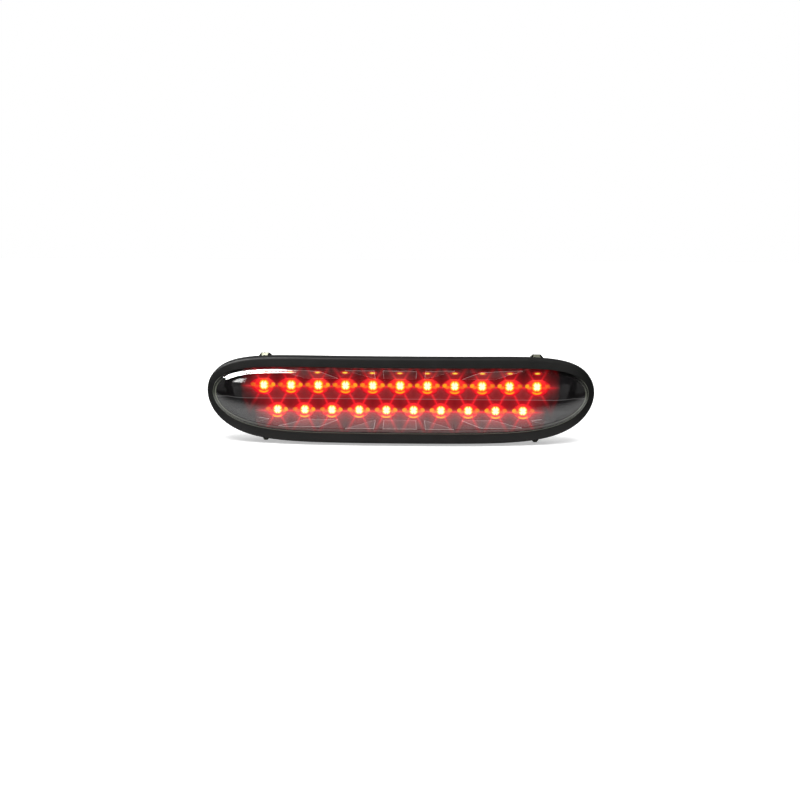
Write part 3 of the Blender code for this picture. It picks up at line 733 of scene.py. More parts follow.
def metal_finish(name, colour, roughness, tint=None):
    """Plated metal with a drawn grain along X and a faint cloud in its tone."""
    made, tree, shader = new_material(name, Metallic=1.0, Roughness=roughness)
    other = tint or [0.8 * channel for channel in colour]
    cloud = noise(tree, 150.0, 3.0)
    plug(tree, blend_colours(tree, cloud, (*colour, 1.0), (*other, 1.0)),
         shader.inputs["Base Color"])
    point = object_point(tree)
    drawn = add_node(tree, "ShaderNodeMapping", Vector=point, Scale=(0.06, 1.0, 1.0))
    lines = noise(tree, 5200.0, 2.0, 0.6, drawn.outputs[0])
    plug(tree, smooth_step(tree, lines, 0.2, 0.8, roughness - 0.08, roughness + 0.1),
         shader.inputs["Roughness"])
    plug(tree, bump(tree, lines, 0.006 * MM), shader.inputs["Normal"])
    return made


def lamp_offsets(tree, x, z, level, shifted):
    """Offsets from the nearest lamp of one row; a shifted row stands half a pitch over."""
    steps = x / LAMP_PITCH + shifted
    return (steps - steps.math("ROUND")) * LAMP_PITCH, z - level


def fading(value, length):
    return (value * (-1.0 / length)).math("EXPONENT")


def spot(tree, across, up, centre, half_size):
    """One inside an ellipse, fading to nothing at its edge."""
    a = (across - centre[0]) / half_size[0]
    b = (up - centre[1]) / half_size[1]
    return smooth_step(tree, a * a + b * b, 0.1, 1.0, 1.0, 0.0)


def row_spill(tree, x, z, level, shifted, count):
    """Painted red light round one row: a pool at each lamp, six thin rays, and a band between
    lamps.
    """
    across, up = lamp_offsets(tree, x, z, level, shifted)
    radius = (across * across + up * up).math("SQRT")
    angle = up.math("ARCTAN2", across)
    ray = abs((angle * 3.0).math("COSINE")) ** RAY_SHARPNESS
    light = fading(radius, POOL_REACH) * POOL_LIGHT + ray * fading(radius, RAY_REACH) * RAY_LIGHT
    light = light + fading(abs(up), BAND_REACH) * BAND_LIGHT
    end = (count - 1) / 2 * LAMP_PITCH
    start, stop = SPILL_PAST_ROW
    return light * smooth_step(tree, abs(x), end + start, end + stop, 1.0, 0.0)


def coloured(tree, amount, colour):
    """A colour multiplied by an amount."""
    scaled = add_node(tree, "ShaderNodeVectorMath", {"operation": "SCALE"}, Scale=amount)
    scaled.inputs[0].default_value = colour
    return scaled.outputs[0]


def added(tree, first, second):
    node = add_node(tree, "ShaderNodeVectorMath", {"operation": "ADD"})
    plug(tree, first, node.inputs[0])
    plug(tree, second, node.inputs[1])
    return node.outputs[0]


def lamp_light(tree, colour):
    """Painted light on the tray from both rows: red spill, and the upper row's image overhead."""
    x, _y, z = split(tree, object_point(tree))
    upper = row_spill(tree, x, z, UPPER_ROW, 0.0, len(UPPER_LAMPS))
    lower = row_spill(tree, x, z, LOWER_ROW, 0.5, len(LOWER_LAMPS))
    across, up = lamp_offsets(tree, x, z, UPPER_ROW + IMAGE_ABOVE, 0.0)
    end = len(UPPER_LAMPS) / 2 * LAMP_PITCH
    within = smooth_step(tree, abs(x), end - 4.0 * MM, end - 2.0 * MM, 1.0, 0.0)
    halo = spot(tree, across, up, (0.0, 0.0), HALO_SIZE) * within
    image = spot(tree, across, up, (0.0, 0.0), IMAGE_SIZE) * within
    glow = coloured(tree, (upper + lower) * 1.05 + halo * 0.5, colour)
    return added(tree, glow, coloured(tree, image, IMAGE_YELLOW))


def tray_finish(finishes):
    """Gloss black moulding with the lamps' red light and their image overhead painted on it."""
    made, tree, shader = new_material(
        "gloss_black_tray", Specular_IOR_Level=0.35, Base_Color=(*finishes.tray, 1.0))
    haze = noise(tree, 320.0, 3.0)
    plug(tree, smooth_step(tree, haze, 0.3, 0.7, 0.10, 0.2), shader.inputs["Roughness"])
    _x, _y, z = split(tree, object_point(tree))
    glow = lamp_light(tree, finishes.glow)
    # Painted highlight: a thin white line of light along the valley's crease.
    crease = smooth_step(tree, abs(z - VALLEY_LEVEL), 0.08 * MM, 0.25 * MM, 0.10, 0.0)
    glow = added(tree, glow, coloured(tree, crease, (1.0, 1.0, 1.0)))
    plug(tree, glow, shader.inputs["Emission Color"])
    shader.inputs["Emission Strength"].default_value = 1.0
    flow = noise(tree, 45.0, 2.0)
    plug(tree, bump(tree, flow, 0.04 * MM, 0.5), shader.inputs["Normal"])
    return made


def facet_finish(finishes, name, lightness, roughness):
    """Satin face of the raised facets, or their pale edge, a painted highlight; both carry painted
    red light from the lamps.
    """
    made, tree, shader = new_material(name, Roughness=roughness, Specular_IOR_Level=0.4)
    tone = noise(tree, 260.0, 3.0)
    darker = (0.8 * lightness,) * 3 + (1.0,)
    lighter = (1.15 * lightness,) * 3 + (1.0,)
    plug(tree, blend_colours(tree, tone, darker, lighter), shader.inputs["Base Color"])
    plug(tree, lamp_light(tree, finishes.glow), shader.inputs["Emission Color"])
    shader.inputs["Emission Strength"].default_value = 1.0
    plug(tree, bump(tree, noise(tree, 2200.0, 3.0), 0.01 * MM), shader.inputs["Normal"])
    return made


def cup_glints(tree, x, z, level, shifted, corner):
    """Painted orange images of a lamp in its cup, below it and towards each corner, and the radius.
    """
    across, up = lamp_offsets(tree, x, z, level, shifted)
    radius = (across * across + up * up).math("SQRT")
    band = smooth_step(tree, abs(radius - GLINT_RADIUS), *GLINT_EDGE, 1.0, 0.0)
    below = smooth_step(tree, up / radius, -0.95, -0.62, 1.0, 0.0)
    light = band * below
    for side in (-1, 1):
        towards = x * (side / TOWARDS_SPAN) * -1.0 + TOWARDS_MIDDLE
        towards = towards.math("ADD", 0.0, clamp=True)
        tip = spot(tree, across, up, (side * corner, 0.7 * MM), TIP_SIZE)
        streak = spot(tree, across, up, (side * 0.7 * corner, -0.5 * MM), STREAK_SIZE)
        light = light + tip * towards + streak * towards * STREAK_LIGHT
    return light.math("MINIMUM", 1.0), radius


def cup_finish(finishes):
    """Vapour-plated cup with its lamp's light painted into it as a red glow, and painted images of
    the lamp in it.
    """
    made, tree, shader = new_material(
        "plated_cup", Metallic=1.0, Roughness=0.28, Base_Color=(0.30, 0.008, 0.014, 1.0))
    x, _y, z = split(tree, object_point(tree))
    upper, above = cup_glints(tree, x, z, UPPER_ROW, 0.0, CUP_RADIUS_UPPER - TIP_INSET_UPPER)
    lower, below = cup_glints(tree, x, z, LOWER_ROW, 0.5, CUP_RADIUS_LOWER - TIP_INSET_LOWER)
    in_lower = smooth_step(tree, z, VALLEY_LEVEL - 0.1 * MM, VALLEY_LEVEL + 0.1 * MM, 1.0, 0.0)
    glints = upper + (lower - upper) * in_lower
    mottled = smooth_step(tree, noise(tree, 420.0, 2.0), 0.35, 0.65, 0.75, 1.0)
    radius = above + (below - above) * in_lower
    # Painted shade: the cup's red glow darkens towards its rim, away from the lamp.
    depth = smooth_step(tree, radius, 3.2 * MM, 7.0 * MM, 1.1, 0.62)
    red = coloured(tree, mottled * depth, CUP_GLOW_RED)
    colour = blend_colours(tree, glints, red, CUP_GLINT_ORANGE)
    plug(tree, colour, shader.inputs["Emission Color"])
    shader.inputs["Emission Strength"].default_value = 0.9
    ripple = noise(tree, 500.0, 2.0)
    plug(tree, bump(tree, ripple, 0.04 * MM), shader.inputs["Normal"])
    return made


def lamp_finish(finishes):
    """Lit red epoxy: a white-hot core of four spots, through yellow and orange to red."""
    made, tree, shader = new_material(
        "lit_red_epoxy", Roughness=0.08, Base_Color=(0.5, 0.02, 0.01, 1.0))
    local = add_node(tree, "ShaderNodeAttribute", {"attribute_name": "lamp_place"})
    x, _y, z = split(tree, local.outputs["Vector"])
    radius = (x * x + z * z * 0.8).math("SQRT")
    cross = smooth_step(tree, abs(x).math("MINIMUM", abs(z)), 0.05 * MM, 0.42 * MM, 0.75, 0.0)
    reach = radius / (1.0 * MM) + cross
    ramp = tree.nodes.new("ShaderNodeValToRGB")
    stops = ramp.color_ramp
    stops.elements[0].position = 0.46
    stops.elements[0].color = (1.5, 1.45, 0.95, 1.0)
    stops.elements[1].position = 1.0
    stops.elements[1].color = (0.9, 0.02, 0.02, 1.0)
    for position, colour in ((0.60, (1.25, 0.95, 0.10, 1.0)), (0.72, (1.1, 0.55, 0.01, 1.0)),
                             (0.84, (1.0, 0.16, 0.01, 1.0))):
        stops.elements.new(position).color = colour
    plug(tree, reach / 3.3, ramp.inputs["Fac"])
    plug(tree, ramp.outputs["Color"], shader.inputs["Emission Color"])
    shader.inputs["Emission Strength"].default_value = finishes.glow_strength
    return made


def board_finish():
    """Green solder mask with tracks showing through as a lighter pattern."""
    made, tree, shader = new_material("green_solder_mask", Roughness=0.32, Coat_Weight=0.3)
    point = object_point(tree)
    x, _y, z = split(tree, point)
    tracks = abs((x * (2.0 * math.pi / (LAMP_PITCH / 3.0))).math("SINE")) ** 24.0
    lanes = abs((z * (2.0 * math.pi / (5.0 * MM))).math("SINE")) ** 24.0
    pattern = tracks.math("MAXIMUM", lanes)
    patch = smooth_step(tree, noise(tree, 130.0, 1.0), 0.45, 0.5)
    seen = pattern * patch
    plug(tree, blend_colours(tree, seen, (0.012, 0.085, 0.03, 1.0), (0.03, 0.20, 0.07, 1.0)),
         shader.inputs["Base Color"])
    plug(tree, bump(tree, seen, 0.035 * MM), shader.inputs["Normal"])
    return made


# ---------------------------------------------------------------- main pieces

def lens_profile():
    """Outer dome from the crown out, over the flange, and back along the inner dome."""
    def dome(offset):
        shoulder = LENS_CROWN + GAP
        stations = []
        for step in range(29):
            share = (step / 28) ** 0.72
            inward = 0.65 * offset * share
            fall = (1.0 - math.sqrt(max(0.0, 1.0 - share ** 2.6))) ** 0.9
            depth = LENS_LOW.y + offset + shoulder * fall
            high = LENS_FOOT * share - inward
            wide = band_width(LENS_FOOT) * (1.0 - (1.0 - share) ** 2) - inward
            stations.append((max(0.0, high), depth, max(0.0, wide), 1.0))
        return stations

    root = LENS_FOOT + 1.4 * MM
    outer = dome(0.0)
    flange = banded([Vector(pair) for pair in (
        (root - 0.5 * MM, LENS_FLANGE_FRONT - 0.6 * MM),
        (root, LENS_FLANGE_FRONT - 0.1 * MM),
        (root + 0.3 * MM, LENS_FLANGE_FRONT),
        (FLANGE - 0.2 * MM, LENS_FLANGE_FRONT),
        (FLANGE, LENS_FLANGE_FRONT + 0.2 * MM),
        (FLANGE, LENS_FLANGE_BACK),
        (root - 0.9 * MM, LENS_FLANGE_BACK),
    )])
    return outer + flange + dome(LENS_WALL)[::-1]


def frame_profile(corner):
    skirt_inside = FLANGE + GAP
    corners = (
        (OPENING, FRAME_FRONT, 0.45 * MM),
        (HALF_HEIGHT - 0.35 * MM, FRAME_FRONT + 0.15 * MM, corner),
        (HALF_HEIGHT, -0.6 * MM, 0.0),
        (HALF_HEIGHT - 0.6 * MM, 0.0, 0.0),
        (skirt_inside, 0.0, 0.0),
        (skirt_inside, LIP_BACK, 0.0),
        (OPENING + 1.8 * MM, LIP_BACK, 0.0),
        (OPENING, FRAME_FRONT + 0.9 * MM, 0.0),
    )
    points = banded(round_corners(corners, 7))
    return points + points[:1]


def housing_profile():
    neck = FLANGE - 1.3 * MM
    step = FLANGE - 3.8 * MM
    back = neck - 1.2 * MM
    back_width = band_width(back) - 3.0 * MM
    corner = 1.0 * MM
    profile = [(0.0, HOUSING_BACK, 0.0, 0.0)]
    for index in range(7):
        angle = math.radians(90.0 * index / 6)
        high = back - corner + corner * math.sin(angle)
        wide = back_width - corner + corner * math.sin(angle)
        profile.append((high, HOUSING_BACK - corner + corner * math.cos(angle), wide, 0.0))
    profile += banded([Vector(pair) for pair in (
        (neck, HOUSING_FLANGE_BACK + 0.3 * MM),
        (neck + 0.3 * MM, HOUSING_FLANGE_BACK),
        (FLANGE, HOUSING_FLANGE_BACK),
        (FLANGE, HOUSING_FLANGE_FRONT),
        (step, HOUSING_FLANGE_FRONT),
    )])
    inner = back - HOUSING_WALL
    inside = HOUSING_BACK - HOUSING_WALL
    inner_width = back_width - HOUSING_WALL
    profile.append((inner, inside, inner_width, 0.0))
    profile.append((0.0, inside, 0.0, 0.0))
    return profile


def tray_mesh():
    """The tray's blank, cut by the space over its ridges and by the lamps' cups."""
    rim = OPENING - 0.2 * MM
    seat = FLANGE - 4.1 * MM
    rim_front = BEZEL_LOW.y
    rim_back = HOUSING_FLANGE_FRONT - GAP
    back_middle = (CEILING_LEVEL + FLOOR_LEVEL) / 2
    back_half = (CEILING_LEVEL - FLOOR_LEVEL) / 2
    blank = new_object("bezel", mesh_of("bezel", [[
        ring(back_half, 1.5 * CREST_DEPTH, TRAY_END, back_middle, ridge_bow),
        ring(rim, rim_front),
        ring(rim, rim_back),
        ring(seat, rim_back),
        ring(back_half + TRAY_WALL, BEZEL_BACK, TRAY_END + TRAY_WALL, back_middle, ridge_bow),
    ]]))
    lean_depth = (CEILING_DEPTH + FLOOR_DEPTH) / 2
    tray = new_object("tray_space", mesh_of("tray_space", [[
        ring(TRAY_MOUTH, 3.0 * FRAME_FRONT, band_width(TRAY_MOUTH)),
        ring(TRAY_MOUTH, rim_front, band_width(TRAY_MOUTH)),
        ring(TRAY_MOUTH + TRAY_SLANT * (back_half - TRAY_MOUTH),
             rim_front + TRAY_SLANT * (lean_depth - rim_front),
             band_width(TRAY_MOUTH) - TRAY_SLANT * TRAY_END_INSET,
             TRAY_SLANT * back_middle, ridge_bow),
    ]]))
    ridges = new_object("ridge_space", ridge_space())
    combine(tray, ridges, "INTERSECT")
    cones = new_object("cup_cones", mesh_of("cup_cones", list(cup_cones())))
    top = CEILING_LEVEL + 0.15 * MM
    bottom = FLOOR_LEVEL + 0.2 * MM
    centre = (0.0, (top + bottom) / 2)
    band = new_object("cup_band", mesh_of("cup_band", [[
        rounded_rectangle(2.2 * HALF_WIDTH, top - bottom, 0.05 * MM, -8.0 * MM, 1, centre),
        rounded_rectangle(2.2 * HALF_WIDTH, top - bottom, 0.05 * MM, 12.0 * MM, 1, centre),
    ]]))
    combine(cones, band, "INTERSECT")
    combine(blank, tray, "DIFFERENCE")
    combine(blank, cones, "DIFFERENCE")
    return settle(blank, (tray, ridges, cones, band))


def ridge_space():
    """The space in front of the two ridges; past the rows it bends back in small steps."""
    far = 1.25 * HALF_HEIGHT
    front = -4.0 * HALF_HEIGHT
    section = (
        (CEILING_DEPTH, far), (CEILING_DEPTH, CEILING_LEVEL),
        (CREST_DEPTH, UPPER_ROW + CREST_OVER_UPPER), (VALLEY_DEPTH, VALLEY_LEVEL),
        (CREST_DEPTH, LOWER_ROW + CREST_OVER_LOWER), (FLOOR_DEPTH, FLOOR_LEVEL),
        (FLOOR_DEPTH, -far),
    )
    past = HALF_WIDTH - RIDGE_STRAIGHT
    steps = 12
    stations = [side * (RIDGE_STRAIGHT + past * index / steps)
                for side in (-1, 1) for index in range(steps + 1)]
    rings = []
    for x in sorted(stations):
        points = [Vector((x, depth + ridge_bow(x), z)) for depth, z in section]
        points += [Vector((x, front, -far)), Vector((x, front, far))]
        rings.append(points)
    mesh = bmesh.new()
    add_loft(mesh, rings, capped=False)
    mesh.verts.ensure_lookup_table()
    mesh.faces.new(mesh.verts[:len(section) + 2])
    mesh.faces.new(mesh.verts[-len(section) - 2:])
    data = bpy.data.meshes.new("ridge_space")
    mesh.to_mesh(data)
    mesh.free()
    return outward(data)


def wall_point(across, share, side, lift=0.0):
    """A point on the tray's ceiling (side 1) or floor (side -1), lifted off it.

    Across runs from -1 to 1 along the lamp, and share from the tray's mouth to its crease.
    """
    back_middle = (CEILING_LEVEL + FLOOR_LEVEL) / 2
    ends = (
        (TRAY_MOUTH, BEZEL_LOW.y, band_width(TRAY_MOUTH), 0.0, sweep),
        ((CEILING_LEVEL - FLOOR_LEVEL) / 2, (CEILING_DEPTH + FLOOR_DEPTH) / 2, TRAY_END,
         back_middle, ridge_bow),
    )
    places = []
    for high, deep, wide, drop, bow in ends:
        x = across * wide
        z = side * high * math.sqrt(1.0 - abs(across) ** LOZENGE_POWER) + rise(x) + drop
        places.append(Vector((x, deep + bow(x), z)))
    mouth, crease = places
    slope = (crease - mouth)
    normal = Vector((0.0, -abs(slope.z), -side * slope.y)).normalized()
    return mouth.lerp(crease, share) + normal * lift


def wall_panel(corners, side):
    """A thin raised panel; corners give (x, low share, high share) from end to end."""
    rings = []
    for (x0, low0, high0), (x1, low1, high1) in zip(corners, corners[1:]):
        steps = max(2, round(abs(x1 - x0) / PANEL_STEP))
        for index in range(steps + 1):
            if rings and index == 0:
                continue
            part = index / steps
            across = (x0 + (x1 - x0) * part) / band_width(TRAY_MOUTH)
            low = low0 + (low1 - low0) * part
            high = high0 + (high1 - high0) * part
            rings.append([
                wall_point(across, low, side, -PANEL_ROOT),
                wall_point(across, high, side, -PANEL_ROOT),
                wall_point(across, high, side, PANEL_LIFT),
                wall_point(across, low, side, PANEL_LIFT)])
    return rings


def wall_panels(paints):
    """The stepped facets of the tray's ceiling and floor, alike on both halves."""
    parts = []
    for side in (-1, 1):
        reach, low, high = MIDDLE_PANEL
        parts.append(wall_panel([(-reach, low, high), (reach, low, high)], side))
        for half in (-1, 1):
            for corners in PANELS:
                placed = [(half * x, start, end) for x, start, end in corners]
                parts.append(wall_panel(placed, side))
    piece = new_object("facets", mesh_of("facets", parts))
    for paint in paints:
        piece.data.materials.append(paint)
    piece.data.polygons.foreach_set("material_index", [2] * len(piece.data.polygons))
    bevel = piece.modifiers.new("edges", "BEVEL")
    bevel.width = PANEL_EDGE
    bevel.segments = 2
    # The bevels take the pale edge finish, a painted highlight along each facet's edges.
    bevel.material = 3
    bevel.limit_method = "ANGLE"
    return settle(piece)


def joined(pieces):
    """One object of several pieces' meshes; the first gives its name and finishes."""
    first = pieces[0]
    mesh = bmesh.new()
    for piece in pieces:
        mesh.from_mesh(piece.data)
    mesh.to_mesh(first.data)
    mesh.free()
    for piece in pieces[1:]:
        bpy.data.objects.remove(piece, do_unlink=True)
    return first


def cup_radius(name):
    return CUP_RADIUS_UPPER if name in UPPER_LAMPS else CUP_RADIUS_LOWER


def cup_cones():
    front = 1.75 * CREST_DEPTH
    for name in UPPER_LAMPS + LOWER_LAMPS:
        centre = (middle(name).x, middle(name).z)
        radius = cup_radius(name)
        bore = CREST_DEPTH + (radius - CUP_BORE) / CUP_SLOPE
        yield [
            circle(radius + CUP_SLOPE * (CREST_DEPTH - front), front, 48, centre),
            circle(CUP_BORE, bore, 48, centre),
            circle(CUP_BORE, LAMP_BACK, 48, centre),
        ]


def paint_cups(thing, cup_slot):
    """Give the faces that lie on a lamp's cone or bore the cup finish."""
    lamps = [(middle(name), cup_radius(name)) for name in UPPER_LAMPS + LOWER_LAMPS]
    tolerance = 0.1 * MM
    for face in thing.data.polygons:
        for centre, radius in lamps:
            arm = Vector((face.center.x - centre.x, face.center.z - centre.z))
            cone = max(CUP_BORE, radius + CUP_SLOPE * (CREST_DEPTH - face.center.y))
            inward = face.normal.x * arm.x + face.normal.z * arm.y < 0.0
            if abs(arm.length - cone) < tolerance and inward:
                face.material_index = cup_slot
                break


def lamp_mesh():
    """One lamp: a square body with a chamfered top and a dome, its own place kept on it."""
    steps = 32
    half = LAMP_WIDTH / 2
    chamfer = 0.3 * MM
    dome = 2.0 * MM

    def square(width, depth):
        points = []
        for index in range(steps):
            angle = 2.0 * math.pi * index / steps
            reach = width / (abs(math.cos(angle)) ** 9 + abs(math.sin(angle)) ** 9) ** (1 / 9)
            points.append(Vector((reach * math.cos(angle), depth, reach * math.sin(angle))))
        return points

    rings = [square(half, LAMP_BACK), square(half, LAMP_FACE + chamfer)]
    rings += [square(half - chamfer, LAMP_FACE), circle(dome + 0.35 * MM, LAMP_FACE, steps)]
    straight = LAMP_FACE - (LAMP_TIP + dome)
    rings.append(circle(dome + 0.08 * MM, LAMP_FACE - 0.25 * MM, steps))
    for step in range(9):
        angle = math.radians(86.0 * step / 8)
        depth = LAMP_FACE - straight - dome * math.sin(angle)
        rings.append(circle(dome * math.cos(angle), depth, steps))
    data = mesh_of("lamp_template", [rings])
    place = data.attributes.new("lamp_place", "FLOAT_VECTOR", "POINT")
    flat = np.zeros(len(data.vertices) * 3, np.float32)
    data.vertices.foreach_get("co", flat)
    place.data.foreach_set("vector", flat)
    return data


def row_tree():
    """Two straight rows of one template, each centred across the lamp."""
    tree, inputs, output = new_tree("lamp_rows", (
        ("Template", "Object"), ("Pitch", "Float"), ("Upper Count", "Int"),
        ("Lower Count", "Int"), ("Upper Level", "Float"), ("Lower Level", "Float"),
        ("Finish", "Material")))
    info = add_node(tree, "GeometryNodeObjectInfo", Object=inputs["Template"])
    join = tree.nodes.new("GeometryNodeJoinGeometry")
    pitch = Term(tree, inputs["Pitch"])
    for row in ("Upper", "Lower"):
        count = Term(tree, inputs[row + " Count"])
        start = (count - 1.0) * pitch * -0.5
        first = add_node(tree, "ShaderNodeCombineXYZ", X=start, Z=inputs[row + " Level"])
        step = add_node(tree, "ShaderNodeCombineXYZ", X=pitch)
        line = add_node(tree, "GeometryNodeMeshLine", Count=count,
                        Start_Location=first.outputs[0], Offset=step.outputs[0])
        tree.links.new(line.outputs["Mesh"], join.inputs[0])
    copies = add_node(tree, "GeometryNodeInstanceOnPoints", Points=join.outputs[0],
                      Instance=info.outputs["Geometry"])
    real = add_node(tree, "GeometryNodeRealizeInstances", Geometry=copies.outputs[0])
    finished = add_node(tree, "GeometryNodeSetMaterial", Geometry=real.outputs[0],
                        Material=inputs["Finish"])
    tree.links.new(finished.outputs[0], output.inputs[0])
    return tree


def two_rows(name, template_mesh, pitch, counts, levels, paint):
    """A piece of two rows of one template; counts and levels give the upper row first."""
    template = new_object("template", template_mesh)
    return grown(name, row_tree(), {
        "Template": template, "Pitch": pitch, "Upper Count": counts[0],
        "Lower Count": counts[1], "Upper Level": levels[0], "Lower Level": levels[1],
        "Finish": paint}, (template,))


def rib_mesh(height):
    """One short upright rib of the housing's back, drafted and rounded towards its top."""
    width, length = RIB_SIZE
    rings = []
    for share, inset in ((-0.25, 0.0), (0.0, 0.0), (0.6, 0.06), (0.9, 0.14), (1.0, 0.3)):
        shrink = 2.0 * inset * MM
        rings.append(rounded_rectangle(
            width - shrink, length - shrink, 0.45 * width - inset * MM / 2,
            HOUSING_BACK + share * height, 4))
    return mesh_of("rib_template", [rings])


def housing_mesh(paint, rib_height):
    """The tub with the connector's opening and two rows of ribs."""
    tub = swept("housing_tub", housing_profile(), paint)
    opening = new_object("socket_opening", mesh_of("socket_opening", [[
        rounded_rectangle(*SOCKET_OPENING, 0.6 * MM, HOUSING_BACK + offset, 4)
        for offset in (-2.0 * HOUSING_WALL, HOUSING_WALL)]]))
    combine(tub, opening, "DIFFERENCE")
    settle(tub, (opening,))
    outward(tub.data)
    ribs = two_rows("ribs", rib_mesh(rib_height), RIB_PITCH, (RIB_COUNT, RIB_COUNT),
                    (RIB_LEVEL, -RIB_LEVEL), paint)
    piece = joined([tub, ribs])
    piece.data.shade_smooth()
    piece.data.set_sharp_from_angle(angle=SMOOTH_ANGLE)
    return piece


def vent_mesh():
    """A round cap with a stepped, rounded rim and a slotted top."""
    low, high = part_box("vent_cap")
    centre = (middle("vent_cap").x, middle("vent_cap").z)
    radius = (high.x - low.x) / 2
    top = high.y
    foot = low.y
    rings = [circle(radius, foot, VENT_STEPS, centre),
             circle(radius, foot + VENT_ROUND, VENT_STEPS, centre),
             circle(radius - VENT_LEDGE, foot + 1.2 * VENT_ROUND, VENT_STEPS, centre)]
    for step in range(5):
        angle = math.radians(90.0 * step / 4)
        inset = VENT_LEDGE + VENT_ROUND * (1.0 - math.cos(angle))
        depth = top - VENT_ROUND * (1.0 - math.sin(angle))
        rings.append(circle(radius - inset, depth, VENT_STEPS, centre))
    cap = new_object("vent", mesh_of("vent", [rings]))
    longest = 2.0 * (radius - 1.9 * MM)
    slots = new_object("vent_slots", mesh_of("vent_slots", [[
        rounded_rectangle(longest * width, 0.7 * MM, 0.34 * MM, depth, 4,
                          (centre[0], centre[1] + level))
        for depth in (top - 0.5 * MM, top + MM)]
        for level, width in VENT_SLOTS]))
    combine(cap, slots, "DIFFERENCE")
    settle(cap, (slots,))
    outward(cap.data)
    return cap


def latch_mesh():
    """The latch ramp on the connector's top and a key rib on each of its sides."""
    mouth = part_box("connector_socket")[1].y
    top = SOCKET_OUTER[1] / 2
    side = SOCKET_OUTER[0] / 2
    parts = [[
        rounded_rectangle(LATCH_WIDTH, height, 0.1 * MM, mouth - back, 3,
                          (0.0, top + height / 2 - LATCH_SUNK))
        for back, height in LATCH_RAMP]]
    for sign in (-1, 1):
        parts.append([
            rounded_rectangle(*KEY_SIZE, 0.25 * MM, mouth - back, 3,
                              (sign * (side + 0.15 * MM), 0.0))
            for back in KEY_ENDS])
    return mesh_of("latch", parts)


# ---------------------------------------------------------------- operators

class BuildStep(bpy.types.Operator):
    """Shared settings of the building steps."""
    bl_options = {"REGISTER", "UNDO"}

    def finishes(self, context):
        return context.scene.brake_light_finishes

    def shapes(self, context):
        return context.scene.brake_light_shapes


class BRAKELIGHT_OT_lens(BuildStep):
    """Build the clear domed lens."""
    bl_idname = "brakelight.lens"
    bl_label = "Clear Lens"

    def execute(self, context):
        piece = swept("clear_lens", lens_profile(), lens_finish(self.finishes(context)))
        fit(piece, ["outer_lens"])
        return {"FINISHED"}


class BRAKELIGHT_OT_frame(BuildStep):
    """Build the rubber frame round the lens."""
    bl_idname = "brakelight.frame"
    bl_label = "Rubber Frame"

    def execute(self, context):
        profile = frame_profile(self.shapes(context).frame_corner)
        piece = swept("rubber_surround", profile, rubber_finish(self.finishes(context)))
        fit(piece, ["rubber_frame"])
        return {"FINISHED"}


class BRAKELIGHT_OT_tray(BuildStep):
    """Build the gloss black tray with its ridges and cups."""
    bl_idname = "brakelight.tray"
    bl_label = "Ridged Tray"

    def execute(self, context):
        finishes = self.finishes(context)
        piece = tray_mesh()
        piece.name = "ridged_tray"
        bevel = piece.modifiers.new("edges", "BEVEL")
        bevel.width = self.shapes(context).tray_bevel
        bevel.segments = 2
        bevel.limit_method = "ANGLE"
        bevel.angle_limit = math.radians(30.0)
        settle(piece)
        wear(piece, tray_finish(finishes))
        piece.data.materials.append(cup_finish(finishes))
        paint_cups(piece, 1)
        paints = list(piece.data.materials)
        paints.append(facet_finish(finishes, "satin_facet", 0.028, 0.32))
        # The facets' pale edge finish is a painted highlight.
        paints.append(facet_finish(finishes, "facet_edge", 0.65, 0.3))
        piece.data.materials.append(paints[2])
        piece.data.materials.append(paints[3])
        piece = joined([piece, wall_panels(paints)])
        piece.data.shade_smooth()
        piece.data.set_sharp_from_angle(angle=SMOOTH_ANGLE)
        fit(piece, ["bezel"])
        return {"FINISHED"}


class BRAKELIGHT_OT_lamps(BuildStep):
    """Build both rows of lit lamps."""
    bl_idname = "brakelight.lamps"
    bl_label = "Lamps"

    def execute(self, context):
        piece = two_rows(
            "red_lamps", lamp_mesh(), LAMP_PITCH, (len(UPPER_LAMPS), len(LOWER_LAMPS)),
            (UPPER_ROW, LOWER_ROW), lamp_finish(self.finishes(context)))
        fit(piece, UPPER_LAMPS + LOWER_LAMPS)
        return {"FINISHED"}


class BRAKELIGHT_OT_housing(BuildStep):
    """Build the ribbed housing, its vent and the connector's latch."""
    bl_idname = "brakelight.housing"
    bl_label = "Housing"

    def execute(self, context):
        colour = self.finishes(context).housing
        paint = plastic_finish("grained_black", colour, 2600.0, 0.03 * MM, 0.46)
        piece = housing_mesh(paint, self.shapes(context).rib_height)
        fit(piece, ["housing"])
        vent = vent_mesh()
        vent.name = "slotted_vent"
        wear(vent, plastic_finish("vent_moulding", (0.16, 0.16, 0.16), 1800.0, 0.03 * MM, 0.6))
        fit(vent, ["vent_cap"])
        latch = new_object("socket_latch", latch_mesh())
        wear(latch, plastic_finish("latch_nylon", NYLON, 1500.0, 0.02 * MM, 0.42))
        fit(latch)
        return {"FINISHED"}


class BRAKELIGHT_OT_inside(BuildStep):
    """Finish the board and the small pieces that stay as the frame has them."""
    bl_idname = "brakelight.inside"
    bl_label = "Board and Fittings"

    def execute(self, context):
        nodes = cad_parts
        finishes = self.finishes(context)
        chip = plastic_finish("chip_body", (0.02, 0.02, 0.022), 3000.0, 0.01 * MM, 0.35)
        bead = plastic_finish("sealant_bead", (0.24, 0.24, 0.23), 700.0, 0.06 * MM, 0.5)
        nylon = plastic_finish("filled_nylon", NYLON, 1500.0, 0.02 * MM, 0.42)
        spring = metal_finish("passivated_spring_steel", finishes.clip, 0.46, CLIP_CLOUD)
        plans = (
            ("circuit_board", board_finish()),
            ("lens_seal", bead),
            ("board_screw", metal_finish("zinc_screw", (0.60, 0.61, 0.62), 0.3)),
            ("series_resistor", chip),
            ("reverse_diode", chip),
            ("connector_socket", nylon),
            ("terminal", metal_finish("tinned_brass", (0.74, 0.70, 0.60), 0.24)),
            ("clip", spring),
        )
        for prefix, paint in plans:
            for name, node in nodes.items():
                if name.startswith(prefix):
                    wear(node, paint)
        return {"FINISHED"}


